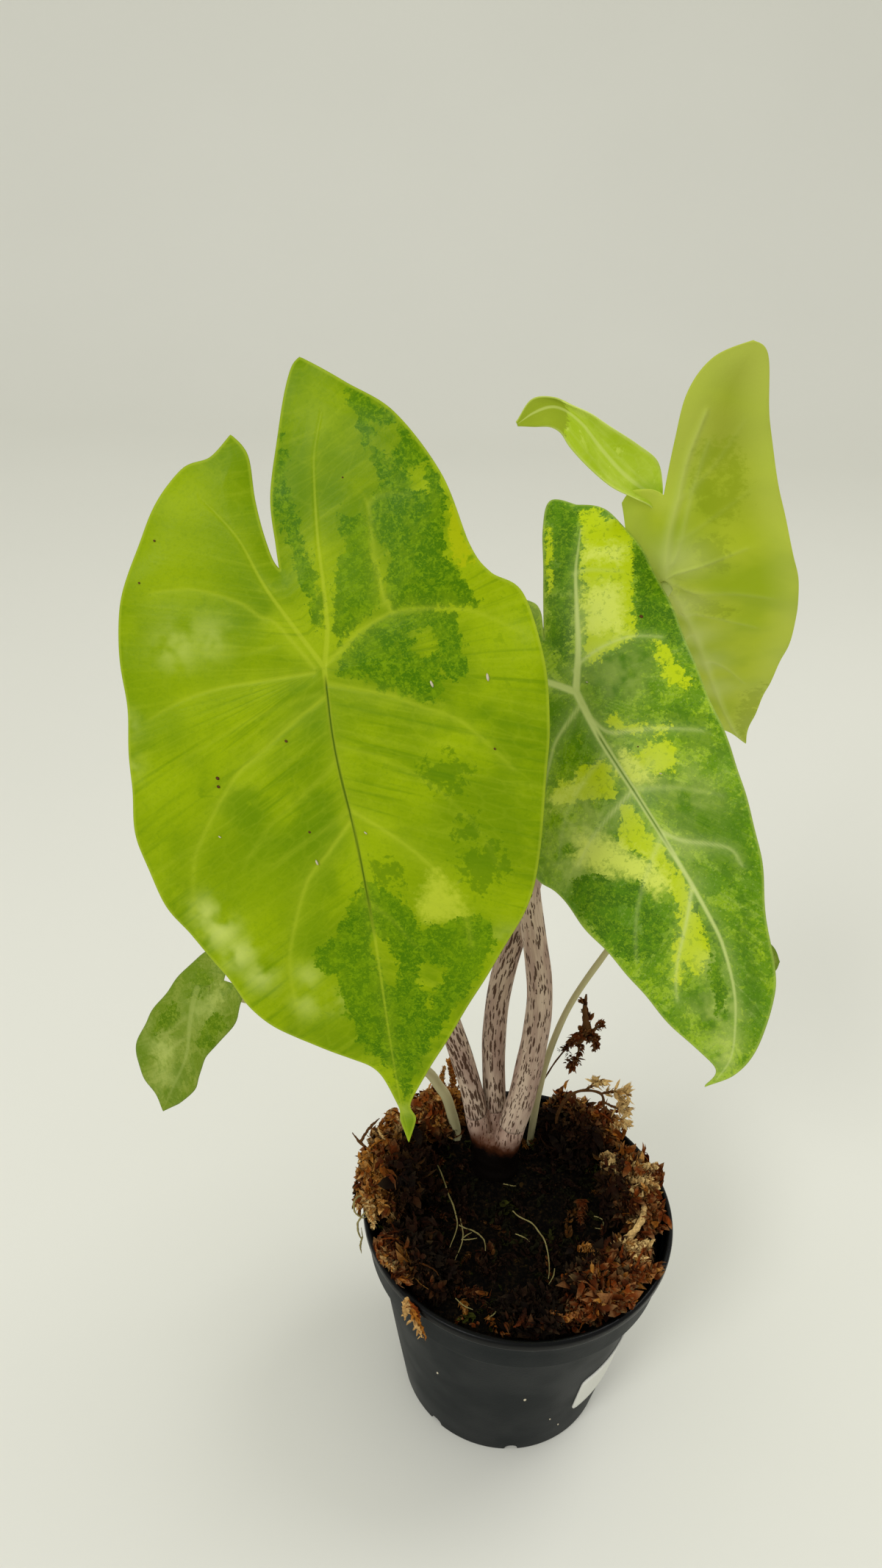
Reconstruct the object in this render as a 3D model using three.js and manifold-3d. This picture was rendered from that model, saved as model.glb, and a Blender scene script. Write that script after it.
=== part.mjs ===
// A young potted alocasia longiloba in a round nursery pot, at real size.
// Millimetres, +Z up, origin on the floor at the pot's axis, +Y away from the front leaf.
import * as THREE from 'three';
import { mergeVertices } from 'three/addons/utils/BufferGeometryUtils.js';
import Module from 'manifold-3d';

const wasm = await Module();
wasm.setup();

// Driving dimensions
const GAP = 0.3;
const POT = {
  rimRadius: 45, height: 72, baseRadius: 31, wall: 1.1, floor: 1.4,
  collarLow: 59, collarRadius: 43, collarFlare: 0.7, bodyTopRadius: 40.5, lipHeight: 3.2, lipWidth: 1.9,
  hubRadius: 12, footWidth: 4.5, recess: 1.2, bevel: 0.8, segments: 44,
  drains: 8, drainWidth: 4, drainHeight: 2.8, drainInner: 21, drainTurn: 0.1,
};
const COLLAR_INSIDE = POT.collarRadius - POT.wall - 0.2;
const LABEL = { from: -56, to: -12, low: 17.5, high: 35, rise: 5, thick: 0.3, steps: 8 };
const SOIL = {
  level: 66.5, lump: 1.3, crown: 1.6, radius: COLLAR_INSIDE - GAP - 0.1, rings: 7, segments: 36,
};
const STEM = {
  x: -6, y: 17, low: 54, bend: 84, radius: 7.5, neck: 5.4, sides: 14,
  sheathLow: 74, sheathInset: 0.35, sheathRadius: 4.6, sheathLength: 5,
};
const BLADE = { thick: 0.7, ridge: 1.1, ridgeTip: 0.3 };

// Colours
const finish = (color, roughness) => new THREE.MeshStandardMaterial({ color, roughness, metalness: 0 });
const COLOURS = {
  pot: 0x1c1f20, label: 0xf2f2ee, soil: 0x1d1710, stalk: 0xa98f7c, paleStalk: 0xb3ab85,
  chartreuse: 0x8db51f, green: 0x5d9a1e, olive: 0xa0b548, sage: 0x7d9a52,
  moss: 0xa9824a, paleMoss: 0xc9ad78, dry: 0x4a3420, root: 0xb9ab78,
};

// A seeded draw, the same on every run.
function draws(seed) {
  let state = seed >>> 0;
  return () => {
    state = (state + 0x6d2b79f5) >>> 0;
    let t = Math.imul(state ^ (state >>> 15), 1 | state);
    t = (t + Math.imul(t ^ (t >>> 7), 61 | t)) ^ t;
    return ((t ^ (t >>> 14)) >>> 0) / 4294967296;
  };
}

const vec = (x, y, z) => new THREE.Vector3(x, y, z);
const radians = THREE.MathUtils.degToRad;

// Solids for joining and cutting
function solidOf(geometry) {
  const bare = geometry.clone();
  bare.deleteAttribute('normal');
  bare.deleteAttribute('uv');
  const merged = mergeVertices(bare, 1e-4);
  const index = [];
  for (let i = 0; i < merged.index.count; i += 3) {
    const [a, b, c] = [merged.index.getX(i), merged.index.getX(i + 1), merged.index.getX(i + 2)];
    if (a !== b && b !== c && c !== a) index.push(a, b, c);
  }
  return new wasm.Manifold(new wasm.Mesh({
    numProp: 3,
    vertProperties: new Float32Array(merged.attributes.position.array),
    triVerts: new Uint32Array(index),
  }));
}

function geometryOf(solid) {
  const mesh = solid.getMesh();
  const geometry = new THREE.BufferGeometry();
  geometry.setAttribute('position', new THREE.BufferAttribute(new Float32Array(mesh.vertProperties), 3));
  geometry.setIndex(new THREE.BufferAttribute(new Uint32Array(mesh.triVerts), 1));
  geometry.computeVertexNormals();
  return geometry;
}

const joined = (solids) => solids.reduce((whole, piece) => whole.add(piece));
const largest = (solid) => solid.decompose().reduce((a, b) => (a.volume() > b.volume() ? a : b));

function meshFrom(points, triangles) {
  const geometry = new THREE.BufferGeometry();
  geometry.setAttribute('position', new THREE.Float32BufferAttribute(points.flatMap((p) => p.toArray()), 3));
  geometry.setIndex(triangles);
  return geometry;
}

// A closed tube of changing radius along a smooth route.
function taperedTube(route, radii, sides, steps) {
  const curve = new THREE.CatmullRomCurve3(route.map((p) => vec(...p)), false, 'centripetal');
  const frames = curve.computeFrenetFrames(steps, false);
  const points = [];
  const triangles = [];
  for (let i = 0; i <= steps; i += 1) {
    const centre = curve.getPointAt(i / steps);
    const place = (i / steps) * (radii.length - 1);
    const low = Math.min(Math.floor(place), radii.length - 2);
    const radius = THREE.MathUtils.lerp(radii[low], radii[low + 1], place - low);
    for (let j = 0; j < sides; j += 1) {
      const turn = (2 * Math.PI * j) / sides;
      points.push(centre.clone()
        .addScaledVector(frames.normals[i], radius * Math.cos(turn))
        .addScaledVector(frames.binormals[i], radius * Math.sin(turn)));
    }
  }
  for (let i = 0; i < steps; i += 1) {
    for (let j = 0; j < sides; j += 1) {
      const [a, b] = [i * sides + j, i * sides + ((j + 1) % sides)];
      triangles.push(a, b, b + sides, a, b + sides, a + sides);
    }
  }
  const ends = points.length;
  points.push(curve.getPointAt(0), curve.getPointAt(1));
  for (let j = 0; j < sides; j += 1) {
    const next = (j + 1) % sides;
    triangles.push(ends, next, j, ends + 1, steps * sides + j, steps * sides + next);
  }
  return meshFrom(points, triangles);
}

function plainCylinder(x, y, radius, low, high, segments) {
  const geometry = new THREE.CylinderGeometry(radius, radius, high - low, segments);
  geometry.rotateX(Math.PI / 2);
  geometry.translate(x, y, (low + high) / 2);
  return geometry;
}

function turned(profile, segments) {
  const geometry = new THREE.LatheGeometry(profile.map(([r, z]) => new THREE.Vector2(r, z)), segments);
  geometry.rotateX(Math.PI / 2);
  return geometry;
}

// Pot: one moulded shell with a rolled lip, a collar band, a step and a foot ring
function wallRadius(z) {
  const slope = (POT.bodyTopRadius - POT.baseRadius) / POT.collarLow;
  return POT.baseRadius + slope * z;
}

function pot() {
  const { rimRadius, height, baseRadius, wall, hubRadius, recess, bevel } = POT;
  const { collarLow, collarRadius, bodyTopRadius } = POT;
  const lipLow = height - POT.lipHeight;
  const footInner = baseRadius - POT.footWidth;
  const floorTop = recess + POT.floor;
  const profile = [
    [0, 0], [hubRadius, 0], [hubRadius + bevel, recess], [footInner - bevel, recess],
    [footInner, 0], [baseRadius - bevel, 0], [baseRadius, bevel],
    [bodyTopRadius, collarLow - 0.6], [collarRadius, collarLow], [collarRadius + POT.collarFlare, lipLow],
    [rimRadius - 0.3, lipLow + 0.3], [rimRadius, lipLow + 1.2], [rimRadius - 0.2, height - 0.4],
    [rimRadius - bevel, height], [rimRadius - POT.lipWidth, height - 0.1], [collarRadius - 0.6, lipLow],
    [COLLAR_INSIDE, collarLow + bevel], [bodyTopRadius - wall, collarLow - 1.4],
    [baseRadius - wall - 0.4, floorTop + 0.6], [baseRadius - wall - 1.2, floorTop], [0, floorTop],
  ];
  let solid = solidOf(turned(profile, POT.segments));
  const [length, below] = [baseRadius + 4 - POT.drainInner, 2];
  for (let i = 0; i < POT.drains; i += 1) {
    const notch = new THREE.BoxGeometry(length, POT.drainWidth, POT.drainHeight + below);
    notch.translate(POT.drainInner + length / 2, 0, (POT.drainHeight - below) / 2);
    notch.rotateZ((2 * Math.PI * (i + POT.drainTurn)) / POT.drains);
    solid = solid.subtract(solidOf(notch));
  }
  return geometryOf(solid);
}

// Label: a thin blank sticker that lies round the tapered wall
function label() {
  const points = [];
  const triangles = [];
  const rows = [
    [LABEL.low, GAP], [LABEL.high, GAP], [LABEL.high, GAP + LABEL.thick], [LABEL.low, GAP + LABEL.thick],
  ];
  for (let i = 0; i <= LABEL.steps; i += 1) {
    const turn = radians(THREE.MathUtils.lerp(LABEL.from, LABEL.to, i / LABEL.steps));
    for (const [level, out] of rows) {
      const z = level + LABEL.rise * (i / LABEL.steps);
      const r = wallRadius(z) + out;
      points.push(vec(r * Math.cos(turn), r * Math.sin(turn), z));
    }
  }
  for (let i = 0; i < LABEL.steps; i += 1) {
    for (let j = 0; j < 4; j += 1) {
      const [a, b] = [i * 4 + j, i * 4 + ((j + 1) % 4)];
      triangles.push(a, b, b + 4, a, b + 4, a + 4);
    }
  }
  const last = LABEL.steps * 4;
  triangles.push(0, 2, 1, 0, 3, 2, last, last + 1, last + 2, last, last + 2, last + 3);
  return meshFrom(points, triangles);
}

// Soil: fills the pot, with a lumpy top and plain holes for the stem and the two thin stalks
function soilTop(r, turn) {
  const lumps = Math.sin(3 * turn + 0.6) * 0.5 + Math.sin(0.31 * r + 2 * turn) * 0.45
    + Math.sin(0.55 * r - 5 * turn + 1.1) * 0.35;
  return SOIL.level + SOIL.lump * lumps + SOIL.crown * (1 - (r / SOIL.radius) ** 2);
}

function soilBody(lift, rimRadius) {
  const { rings, segments } = SOIL;
  const low = POT.recess + POT.floor + GAP;
  const points = [vec(0, 0, soilTop(0, 0) + lift)];
  const triangles = [];
  const ringPoint = (r, j, z) => {
    const turn = (2 * Math.PI * j) / segments;
    return vec(r * Math.cos(turn), r * Math.sin(turn), z);
  };
  for (let i = 1; i <= rings; i += 1) {
    const r = (rimRadius * i) / rings;
    for (let j = 0; j < segments; j += 1) {
      const z = soilTop(r, (2 * Math.PI * j) / segments) + lift;
      points.push(ringPoint(r, j, z));
    }
  }
  const sides = [
    [rimRadius, POT.collarLow + 1.6],
    [POT.bodyTopRadius - POT.wall - GAP - 0.1, POT.collarLow - 1.8],
    [POT.baseRadius - POT.wall - 1.2 - GAP, low],
  ];
  for (const [r, z] of sides) {
    for (let j = 0; j < segments; j += 1) points.push(ringPoint(r, j, z));
  }
  const rows = rings + sides.length;
  for (let j = 0; j < segments; j += 1) {
    const next = (j + 1) % segments;
    triangles.push(0, 1 + j, 1 + next);
    for (let i = 0; i < rows - 1; i += 1) {
      const [a, b] = [1 + i * segments + j, 1 + i * segments + next];
      triangles.push(a, a + segments, b + segments, a, b + segments, b);
    }
  }
  const bottom = points.length;
  points.push(vec(0, 0, low));
  for (let j = 0; j < segments; j += 1) {
    const base = 1 + (rows - 1) * segments;
    triangles.push(bottom, base + ((j + 1) % segments), base + j);
  }
  return meshFrom(points, triangles);
}

const SMALL_FOOT = { x: -18.1, y: 27, low: 57, radius: 1.6 };
const HIDDEN_FOOT = { x: 5.2, y: 28.6, low: 57, radius: 1.1 };

function soil() {
  let solid = solidOf(soilBody(0, SOIL.radius));
  for (const { x, y, low, radius } of [STEM, SMALL_FOOT, HIDDEN_FOOT]) {
    solid = solid.subtract(solidOf(plainCylinder(x, y, radius + GAP, low - GAP, POT.height, 16)));
  }
  return geometryOf(solid);
}

// Leaf blades.
// Each blade has a flat outline in its own plane, with u to the right and v down towards the drip tip, both
// measured from the point where the stalk joins. Its relief lifts every point along the blade's facing.
const soft = (t, w) => Math.sqrt(t * t + w * w) - w;
const swell = (u, v, u0, v0, reach, height) => (
  height * Math.exp(-((u - u0) ** 2 + (v - v0) ** 2) / (reach * reach))
);

const FRONT = {
  at: [-51, -38, 259], facing: [-0.10, -0.92, 0.37], down: [0.23, -0.38, -0.90],
  relief: (u, v) => 0.10 * soft(u, 4) - 0.0016 * u * u - (v > 0 ? 0.0016 : 0.0012) * v * v
    + swell(u, v, -33, 60, 12, 2.2) - swell(u, v, 35, -7, 10, 2) - swell(u, v, -4, 100, 9, 1.5),
  midrib: [[0, 0], [-1, 15], [-1, 36], [-2, 58], [-2.7, 78], [-4.3, 91.7], [-5.3, 100]],
  rightRib: [[0, 0], [3, -24], [6, -38], [7.4, -45], [5.6, -55]],
  leftRib: [[0, 0], [-7.7, -15.7], [-11.2, -25.7], [-14, -34], [-9.2, -44]],
  sinus: [-4.8, -18.7],
  right: [
    [5.6, -55], [12.7, -49.2], [20.8, -41.9], [27.3, -29.5], [30, -16.7], [32.7, -11.4], [37.7, -6.8],
    [39.6, 5.5], [38.6, 17], [36.5, 26], [32.2, 42.4], [28.1, 51.3], [20.2, 61.3], [11, 72.6], [2.3, 83.4],
    [-2.6, 90], [-2.6, 94.6], [-5.3, 100],
  ],
  left: [
    [-9.2, -44], [-13.5, -40.7], [-19.3, -39.7], [-26, -33.1], [-32.4, -23.2], [-36.5, -13.9], [-38, 1],
    [-40.4, 14.8], [-41.9, 26.4], [-39.8, 38.5], [-36, 46.3], [-31, 54.6], [-27.9, 62.8], [-21, 71.1],
    [-11.9, 77.1], [-7, 82], [-5, 90], [-5.6, 94.6], [-5.3, 100],
  ],
  rightInner: [[-4.8, -18.7], [-4.6, -23.3], [-3.8, -32.3], [-0.1, -44.3], [3.6, -53], [5.6, -55]],
  leftInner: [[-4.8, -18.7], [-6, -21.8], [-7, -31.9], [-6.8, -39.8], [-9.2, -44]],
  split: [7, 4, 13], crease: 3, across: [0, 0.1, 0.36, 0.7, 1],
};

const LONG = {
  at: [-1, -8, 242], facing: [-0.30, -0.80, 0.52], down: [0.53, -0.59, -0.61],
  relief: (u, v) => -(u < 0 ? 0.004 : 0.010) * u * u - (v > 0 ? 0.0012 : 0.002) * v * v
    + swell(u, v, -24, 28, 9, 1.5) + swell(u, v, -12, -12, 9, 4),
  midrib: [[0, 0], [-0.7, 10], [-0.4, 30], [-0.5, 47], [-1.8, 61], [-7.7, 75], [-14.6, 83.4], [-21, 84.2]],
  rightRib: [[0, 0], [2.7, -4.5], [7.4, -11.8], [10.7, -18.9], [16.2, -27.7], [20.6, -37]],
  leftRib: [[0, 0], [-5, -6], [-12, -12], [-18, -19], [-20, -28]],
  sinus: [0, -13.6],
  right: [
    [20.6, -37], [25.5, -32.4], [27.1, -24.1], [27, -15.5], [25.6, -2.7], [23.2, 10.3], [21.4, 22.6],
    [19.7, 30.8], [14.6, 47.9], [8.3, 60.5], [4.7, 69.7], [1.2, 74.8], [-7, 82], [-14.2, 84.6], [-21, 84.2],
  ],
  left: [
    [-20, -28], [-27, -22], [-30.5, -10], [-31.5, 4], [-30.5, 18], [-28.3, 29], [-25.9, 34], [-24.9, 43.1],
    [-22.6, 53.9], [-19.7, 70.8], [-16.6, 81.5], [-21, 84.2],
  ],
  rightInner: [[0, -13.6], [7, -26.2], [11.9, -35.6], [16.3, -40.6], [20.6, -37]],
  leftInner: [[0, -13.6], [1.1, -16.2], [2.3, -19.4], [1.7, -22.2], [-3, -27], [-12, -31], [-20, -28]],
  split: [7, 4, 12], crease: 3, across: [0, 0.1, 0.4, 0.72, 1],
};

const UPPER = {
  at: [20.5, 27, 256], facing: [0.12, 0.93, 0.35], down: [0.42, 0.25, -0.85],
  relief: (u, v) => 0.17 * (soft(v, 14) + v) - 0.002 * u * u - (v < 0 ? 0.001 * v * v : 0),
  midrib: [[0, 0], [-0.8, 21], [1, 45], [2.6, 67], [3, 84], [2, 93]],
  rightRib: [[0, 0], [1.4, -6], [2, -12], [2.4, -18], [2.6, -24]],
  leftRib: [[0, 0], [-3.9, -6], [-10.3, -24.1], [-18, -38], [-25, -48], [-32.4, -55.6]],
  sinus: [-6.4, -23],
  right: [[2.6, -24], [5, -13], [9, -3], [16, 10], [21, 26], [18, 48], [12, 66], [6, 82], [2, 93]],
  left: [
    [-32.4, -55.6], [-34.2, -51.5], [-31.4, -36.2], [-29.8, -19.1], [-28.9, 0.8], [-27.6, 14], [-22.3, 34.3],
    [-12.7, 56.5], [-5, 74], [0, 86], [2, 93],
  ],
  rightInner: [[-6.4, -23], [-4, -26], [-0.5, -26.5], [2.6, -24]],
  leftInner: [[-6.4, -23], [-12.5, -36.6], [-18, -47.4], [-24.6, -53.6], [-32.4, -55.6]],
  split: [7, 4, 12], crease: 3, across: [0, 0.1, 0.4, 0.72, 1],
};

const SMALL = {
  at: [-81, -8, 156], facing: [-0.30, -0.80, 0.52], down: [-0.60, -0.25, -0.75],
  relief: (u, v) => -0.006 * u * u - 0.004 * v * v + swell(u, v, -8, 20, 6, 1) - swell(u, v, 8, 24, 6, 0.8),
  midrib: [[-2, 2], [-3, 9], [1, 15], [4, 26], [8.5, 37.3]],
  rightRib: [[-2, 2], [1, 0.6], [4, -0.6], [6.4, -1.6]],
  leftRib: [[-2, 2], [-4, -1], [-6, -3.4], [-8.1, -5.5]],
  sinus: [-0.1, -1.6],
  right: [[6.4, -1.6], [9.1, 4.8], [8.9, 12], [9, 18.5], [11.4, 25.2], [10.7, 31.8], [8.5, 37.3]],
  left: [
    [-8.1, -5.5], [-9.9, 3], [-9.9, 13.5], [-8.9, 25.1], [-6.7, 31.7], [-1.7, 34.2], [3.8, 35.7], [8.5, 37.3],
  ],
  rightInner: [[-0.1, -1.6], [3, -2.6], [6.4, -1.6]],
  leftInner: [[-0.1, -1.6], [-3, -5], [-8.1, -5.5]],
  split: [4, 2, 7], crease: 1, across: [0, 0.15, 0.55, 1],
};

const HIDDEN = {
  at: [25, 14, 165], facing: [0.15, -0.70, 0.70], down: [0.97, 0, -0.22],
  relief: (u, v) => -0.008 * u * u - 0.003 * v * v + swell(u, v, -9, 12, 6, 0.8),
  midrib: [[0, 0], [0.6, 14], [0.2, 28], [0, 42]],
  rightRib: [[0, 0], [2, -3.5], [3.6, -6.8], [3, -9]],
  leftRib: [[0, 0], [-2, -3.5], [-3.8, -6.4], [-4, -8]],
  sinus: [-0.4, -4],
  right: [[3, -9], [8, -6], [11, 3], [10, 15], [6.5, 27], [3.6, 38.4], [0, 42]],
  left: [[-4, -8], [-8, -5], [-10.5, 4], [-9.5, 16], [-6, 27], [-3.6, 39.4], [0, 42]],
  rightInner: [[-0.4, -4], [0.8, -7], [3, -9]],
  leftInner: [[-0.4, -4], [-1.6, -6.6], [-4, -8]],
  split: [4, 2, 7], crease: 1, across: [0, 0.15, 0.55, 1],
};

const spline = (points) => new THREE.SplineCurve(points.map(([u, v]) => new THREE.Vector2(u, v)));

function bladeFrame(leaf) {
  const n = vec(...leaf.facing).normalize();
  const v = vec(...leaf.down);
  v.addScaledVector(n, -v.dot(n)).normalize();
  return { at: vec(...leaf.at), u: new THREE.Vector3().crossVectors(n, v), v, n };
}

function onBlade(leaf, frame, u, v) {
  return frame.at.clone().addScaledVector(frame.u, u).addScaledVector(frame.v, v)
    .addScaledVector(frame.n, leaf.relief(u, v));
}

function bladeNormal(leaf, frame, u, v) {
  const step = 0.05;
  const du = onBlade(leaf, frame, u + step, v).sub(onBlade(leaf, frame, u - step, v));
  const dv = onBlade(leaf, frame, u, v + step).sub(onBlade(leaf, frame, u, v - step));
  return du.cross(dv).normalize();
}

// A flat net of the blade: strips run from the ribs out to the margin, as its side veins do.
class Net {
  constructor() {
    this.points = [];
    this.triangles = [];
    this.seen = new Map();
  }

  add(point, ridge) {
    const key = `${point.x.toFixed(3)} ${point.y.toFixed(3)}`;
    if (!this.seen.has(key)) {
      this.seen.set(key, this.points.length);
      this.points.push({ u: point.x, v: point.y, ridge });
    }
    const index = this.seen.get(key);
    this.points[index].ridge = Math.max(this.points[index].ridge, ridge);
    return index;
  }

  face(a, b, c) {
    if (a === b || b === c || c === a) return;
    const [p, q, r] = [this.points[a], this.points[b], this.points[c]];
    const area = (q.u - p.u) * (r.v - p.v) - (q.v - p.v) * (r.u - p.u);
    if (area > 0) this.triangles.push(a, b, c);
    else this.triangles.push(a, c, b);
  }

  sheet(rows) {
    for (let i = 0; i < rows.length - 1; i += 1) {
      for (let j = 0; j < rows[i].length - 1; j += 1) {
        this.face(rows[i][j], rows[i][j + 1], rows[i + 1][j + 1]);
        this.face(rows[i][j], rows[i + 1][j + 1], rows[i + 1][j]);
      }
    }
  }
}

function halfBlade(net, leaf, rib, margin) {
  const [ribSteps, fanSteps, midSteps] = leaf.split;
  const total = ribSteps + fanSteps + midSteps;
  const midrib = spline(leaf.midrib);
  const rows = [];
  for (let i = 0; i <= total; i += 1) {
    const onRib = i <= ribSteps;
    const along = onRib ? 1 - i / ribSteps : Math.max(0, (i - ribSteps - fanSteps) / midSteps);
    const root = (onRib ? rib : midrib).getPointAt(along);
    const edge = margin.getPointAt(i / total);
    const ridge = THREE.MathUtils.lerp(BLADE.ridge, BLADE.ridgeTip, along);
    rows.push(leaf.across.map((t) => net.add(root.clone().lerp(edge, t), t === 0 ? ridge : 0)));
  }
  net.sheet(rows);
}

function lobeInside(net, leaf, rib, inner) {
  const ribSteps = leaf.split[0];
  const start = new THREE.Vector2(...leaf.midrib[0]);
  const sinus = new THREE.Vector2(...leaf.sinus);
  const rows = [];
  for (let i = 0; i <= ribSteps; i += 1) {
    const root = rib.getPointAt(i / ribSteps);
    const onCrease = i <= leaf.crease;
    const edge = onCrease ? start.clone().lerp(sinus, i / leaf.crease)
      : inner.getPointAt((i - leaf.crease) / (ribSteps - leaf.crease));
    rows.push([0, 0.5, 1].map((t) => net.add(root.clone().lerp(edge, t), 0)));
  }
  net.sheet(rows);
}

// The net raised by the relief and given its thickness, with both faces split alike.
function thickened(count, triangles, upper, lower) {
  const points = [];
  for (let i = 0; i < count; i += 1) points.push(upper(i));
  for (let i = 0; i < count; i += 1) points.push(lower(i));
  const faces = [];
  const edges = new Set();
  for (let i = 0; i < triangles.length; i += 3) {
    const [a, b, c] = triangles.slice(i, i + 3);
    faces.push(a, b, c, a + count, c + count, b + count);
    edges.add(`${a} ${b}`).add(`${b} ${c}`).add(`${c} ${a}`);
  }
  for (const edge of edges) {
    const [a, b] = edge.split(' ').map(Number);
    if (!edges.has(`${b} ${a}`)) faces.push(b, a, a + count, b, a + count, b + count);
  }
  return meshFrom(points, faces);
}

function blade(leaf, grown = 0) {
  const frame = bladeFrame(leaf);
  const net = new Net();
  const [rightRib, leftRib] = [spline(leaf.rightRib), spline(leaf.leftRib)];
  halfBlade(net, leaf, rightRib, spline(leaf.right));
  halfBlade(net, leaf, leftRib, spline(leaf.left));
  lobeInside(net, leaf, rightRib, spline(leaf.rightInner));
  lobeInside(net, leaf, leftRib, spline(leaf.leftInner));
  const surface = (i, offset) => {
    const { u, v } = net.points[i];
    return onBlade(leaf, frame, u, v).addScaledVector(bladeNormal(leaf, frame, u, v), offset);
  };
  return thickened(
    net.points.length, net.triangles,
    (i) => surface(i, BLADE.thick / 2 + grown),
    (i) => surface(i, -BLADE.thick / 2 - net.points[i].ridge - grown),
  );
}

// The upper leaf's right lobe: a channelled strip that has rolled over and twists out to its own tip
const LOBE = {
  rib: [
    [16, 21.5, 273], [14.6, 20.4, 276.6], [11, 19, 278.6], [6, 17, 282.5], [0.8, 16, 287.7],
    [-3.5, 15, 292.5], [-7.6, 14.6, 295.2], [-10.2, 14.4, 295.6], [-13.6, 14.4, 294.2], [-16.8, 14.2, 291.8],
  ],
  upper: [
    [16.4, 20.4, 276], [15.7, 18.6, 279], [13.7, 17, 284.8], [8.8, 15, 288.6], [1.9, 13, 292.7],
    [-2.2, 12.4, 295.1], [-6.5, 12.6, 296.6], [-9.9, 13.2, 297.7], [-14.1, 14, 297], [-17, 14, 292.2],
  ],
  lower: [
    [14.6, 20, 273.4], [13.2, 17.4, 275.2], [8.6, 15, 277.7], [4.1, 13.4, 280], [-1.4, 12.4, 284.2],
    [-5.7, 12.4, 288.2], [-7.8, 12.8, 290.8], [-9.9, 13.2, 291.7], [-13.3, 14, 291.4], [-16.6, 14, 291.4],
  ],
  thick: 0.8,
};

function twistedLobe() {
  const count = LOBE.rib.length;
  const points = [];
  const triangles = [];
  for (let i = 0; i < count; i += 1) {
    points.push(vec(...LOBE.upper[i]), vec(...LOBE.rib[i]), vec(...LOBE.lower[i]));
  }
  for (let i = 0; i < count - 1; i += 1) {
    for (let j = 0; j < 2; j += 1) {
      const a = 3 * i + j;
      triangles.push(a, a + 3, a + 4, a, a + 4, a + 1);
    }
  }
  const flat = meshFrom(points, triangles);
  flat.computeVertexNormals();
  const normal = (i) => new THREE.Vector3().fromBufferAttribute(flat.attributes.normal, i);
  return thickened(
    points.length, triangles,
    (i) => points[i].clone().addScaledVector(normal(i), LOBE.thick / 2),
    (i) => points[i].clone().addScaledVector(normal(i), -LOBE.thick / 2),
  );
}

const upperBlade = () => geometryOf(largest(solidOf(blade(UPPER)).add(solidOf(twistedLobe()))));

// Leaf stalks: routes from the stem or the soil up to the underside of each blade
const stalkEnd = (leaf, u, v) => onBlade(leaf, bladeFrame(leaf), u, v).toArray();

const STALKS = {
  front: {
    leaf: FRONT,
    route: [[-13.4, 16.6, 91], [-15.4, 16, 101], [-18.7, 13, 115.4], [-22.2, 9, 129.6], [-34, -4, 172],
      [-45, -19, 218], [-49.6, -31, 248], stalkEnd(FRONT, 0, 2)],
    radii: [3.3, 3.2, 3, 2.8, 2.5, 2.2, 1.7], sides: 10, steps: 16,
  },
  upper: {
    leaf: UPPER,
    route: [[-7.6, 20.4, 90], [-8.6, 20.4, 100], [-9.8, 20.4, 120.6], [-9.2, 21, 136], [-5.7, 21.6, 158],
      [1.2, 21.5, 198.6], [11.2, 20.5, 234], [18, 22.5, 250], stalkEnd(UPPER, 0, 2)],
    radii: [3.3, 3.4, 3.3, 3.1, 2.8, 2.4, 2.1, 1.6], sides: 10, steps: 16,
  },
  long: {
    leaf: LONG,
    route: [[-2.6, 13.6, 90], [-0.7, 13.4, 102], [1.1, 12, 128.7], [0.5, 11, 145.3], [-5, 10, 177.2],
      [-6.5, 7, 205], [-3.6, 0, 230], stalkEnd(LONG, 0, 2)],
    radii: [4, 3.9, 3.6, 3.3, 2.9, 2.5, 2.2, 1.7], sides: 10, steps: 16,
  },
  small: {
    leaf: SMALL,
    route: [[SMALL_FOOT.x, SMALL_FOOT.y, SMALL_FOOT.low], [SMALL_FOOT.x, SMALL_FOOT.y, 69],
      [-20.6, 25.4, 82], [-22.5, 24, 89.5], [-24.9, 23, 94.6],
      [-27.7, 21, 101.2], [-38, 13, 116], [-56, 3, 136], [-75, -5.5, 149.5], stalkEnd(SMALL, -2, 4)],
    radii: [SMALL_FOOT.radius, SMALL_FOOT.radius, 1.5, 1.4, 1.2, 1.1, 0.9], sides: 8, steps: 16,
  },
  hidden: {
    leaf: HIDDEN,
    route: [[HIDDEN_FOOT.x, HIDDEN_FOOT.y, HIDDEN_FOOT.low], [HIDDEN_FOOT.x, HIDDEN_FOOT.y, 70],
      [5.8, 27, 90], [7.2, 24, 109.7], [10.6, 20, 130.7],
      [16.2, 17, 148.6], [20.5, 15.6, 158.5], stalkEnd(HIDDEN, 0, 1.5)],
    radii: [HIDDEN_FOOT.radius, HIDDEN_FOOT.radius, 1, 1, 0.9, 0.9, 0.8], sides: 8, steps: 14,
  },
};

// The blade, grown by the gap, is cut from the stalk's end, which so seats against its underside.
function stalk({ leaf, route, radii, sides, steps }) {
  const tube = solidOf(taperedTube(route, radii, sides, steps));
  return geometryOf(largest(tube.subtract(solidOf(blade(leaf, GAP)))));
}

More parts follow.
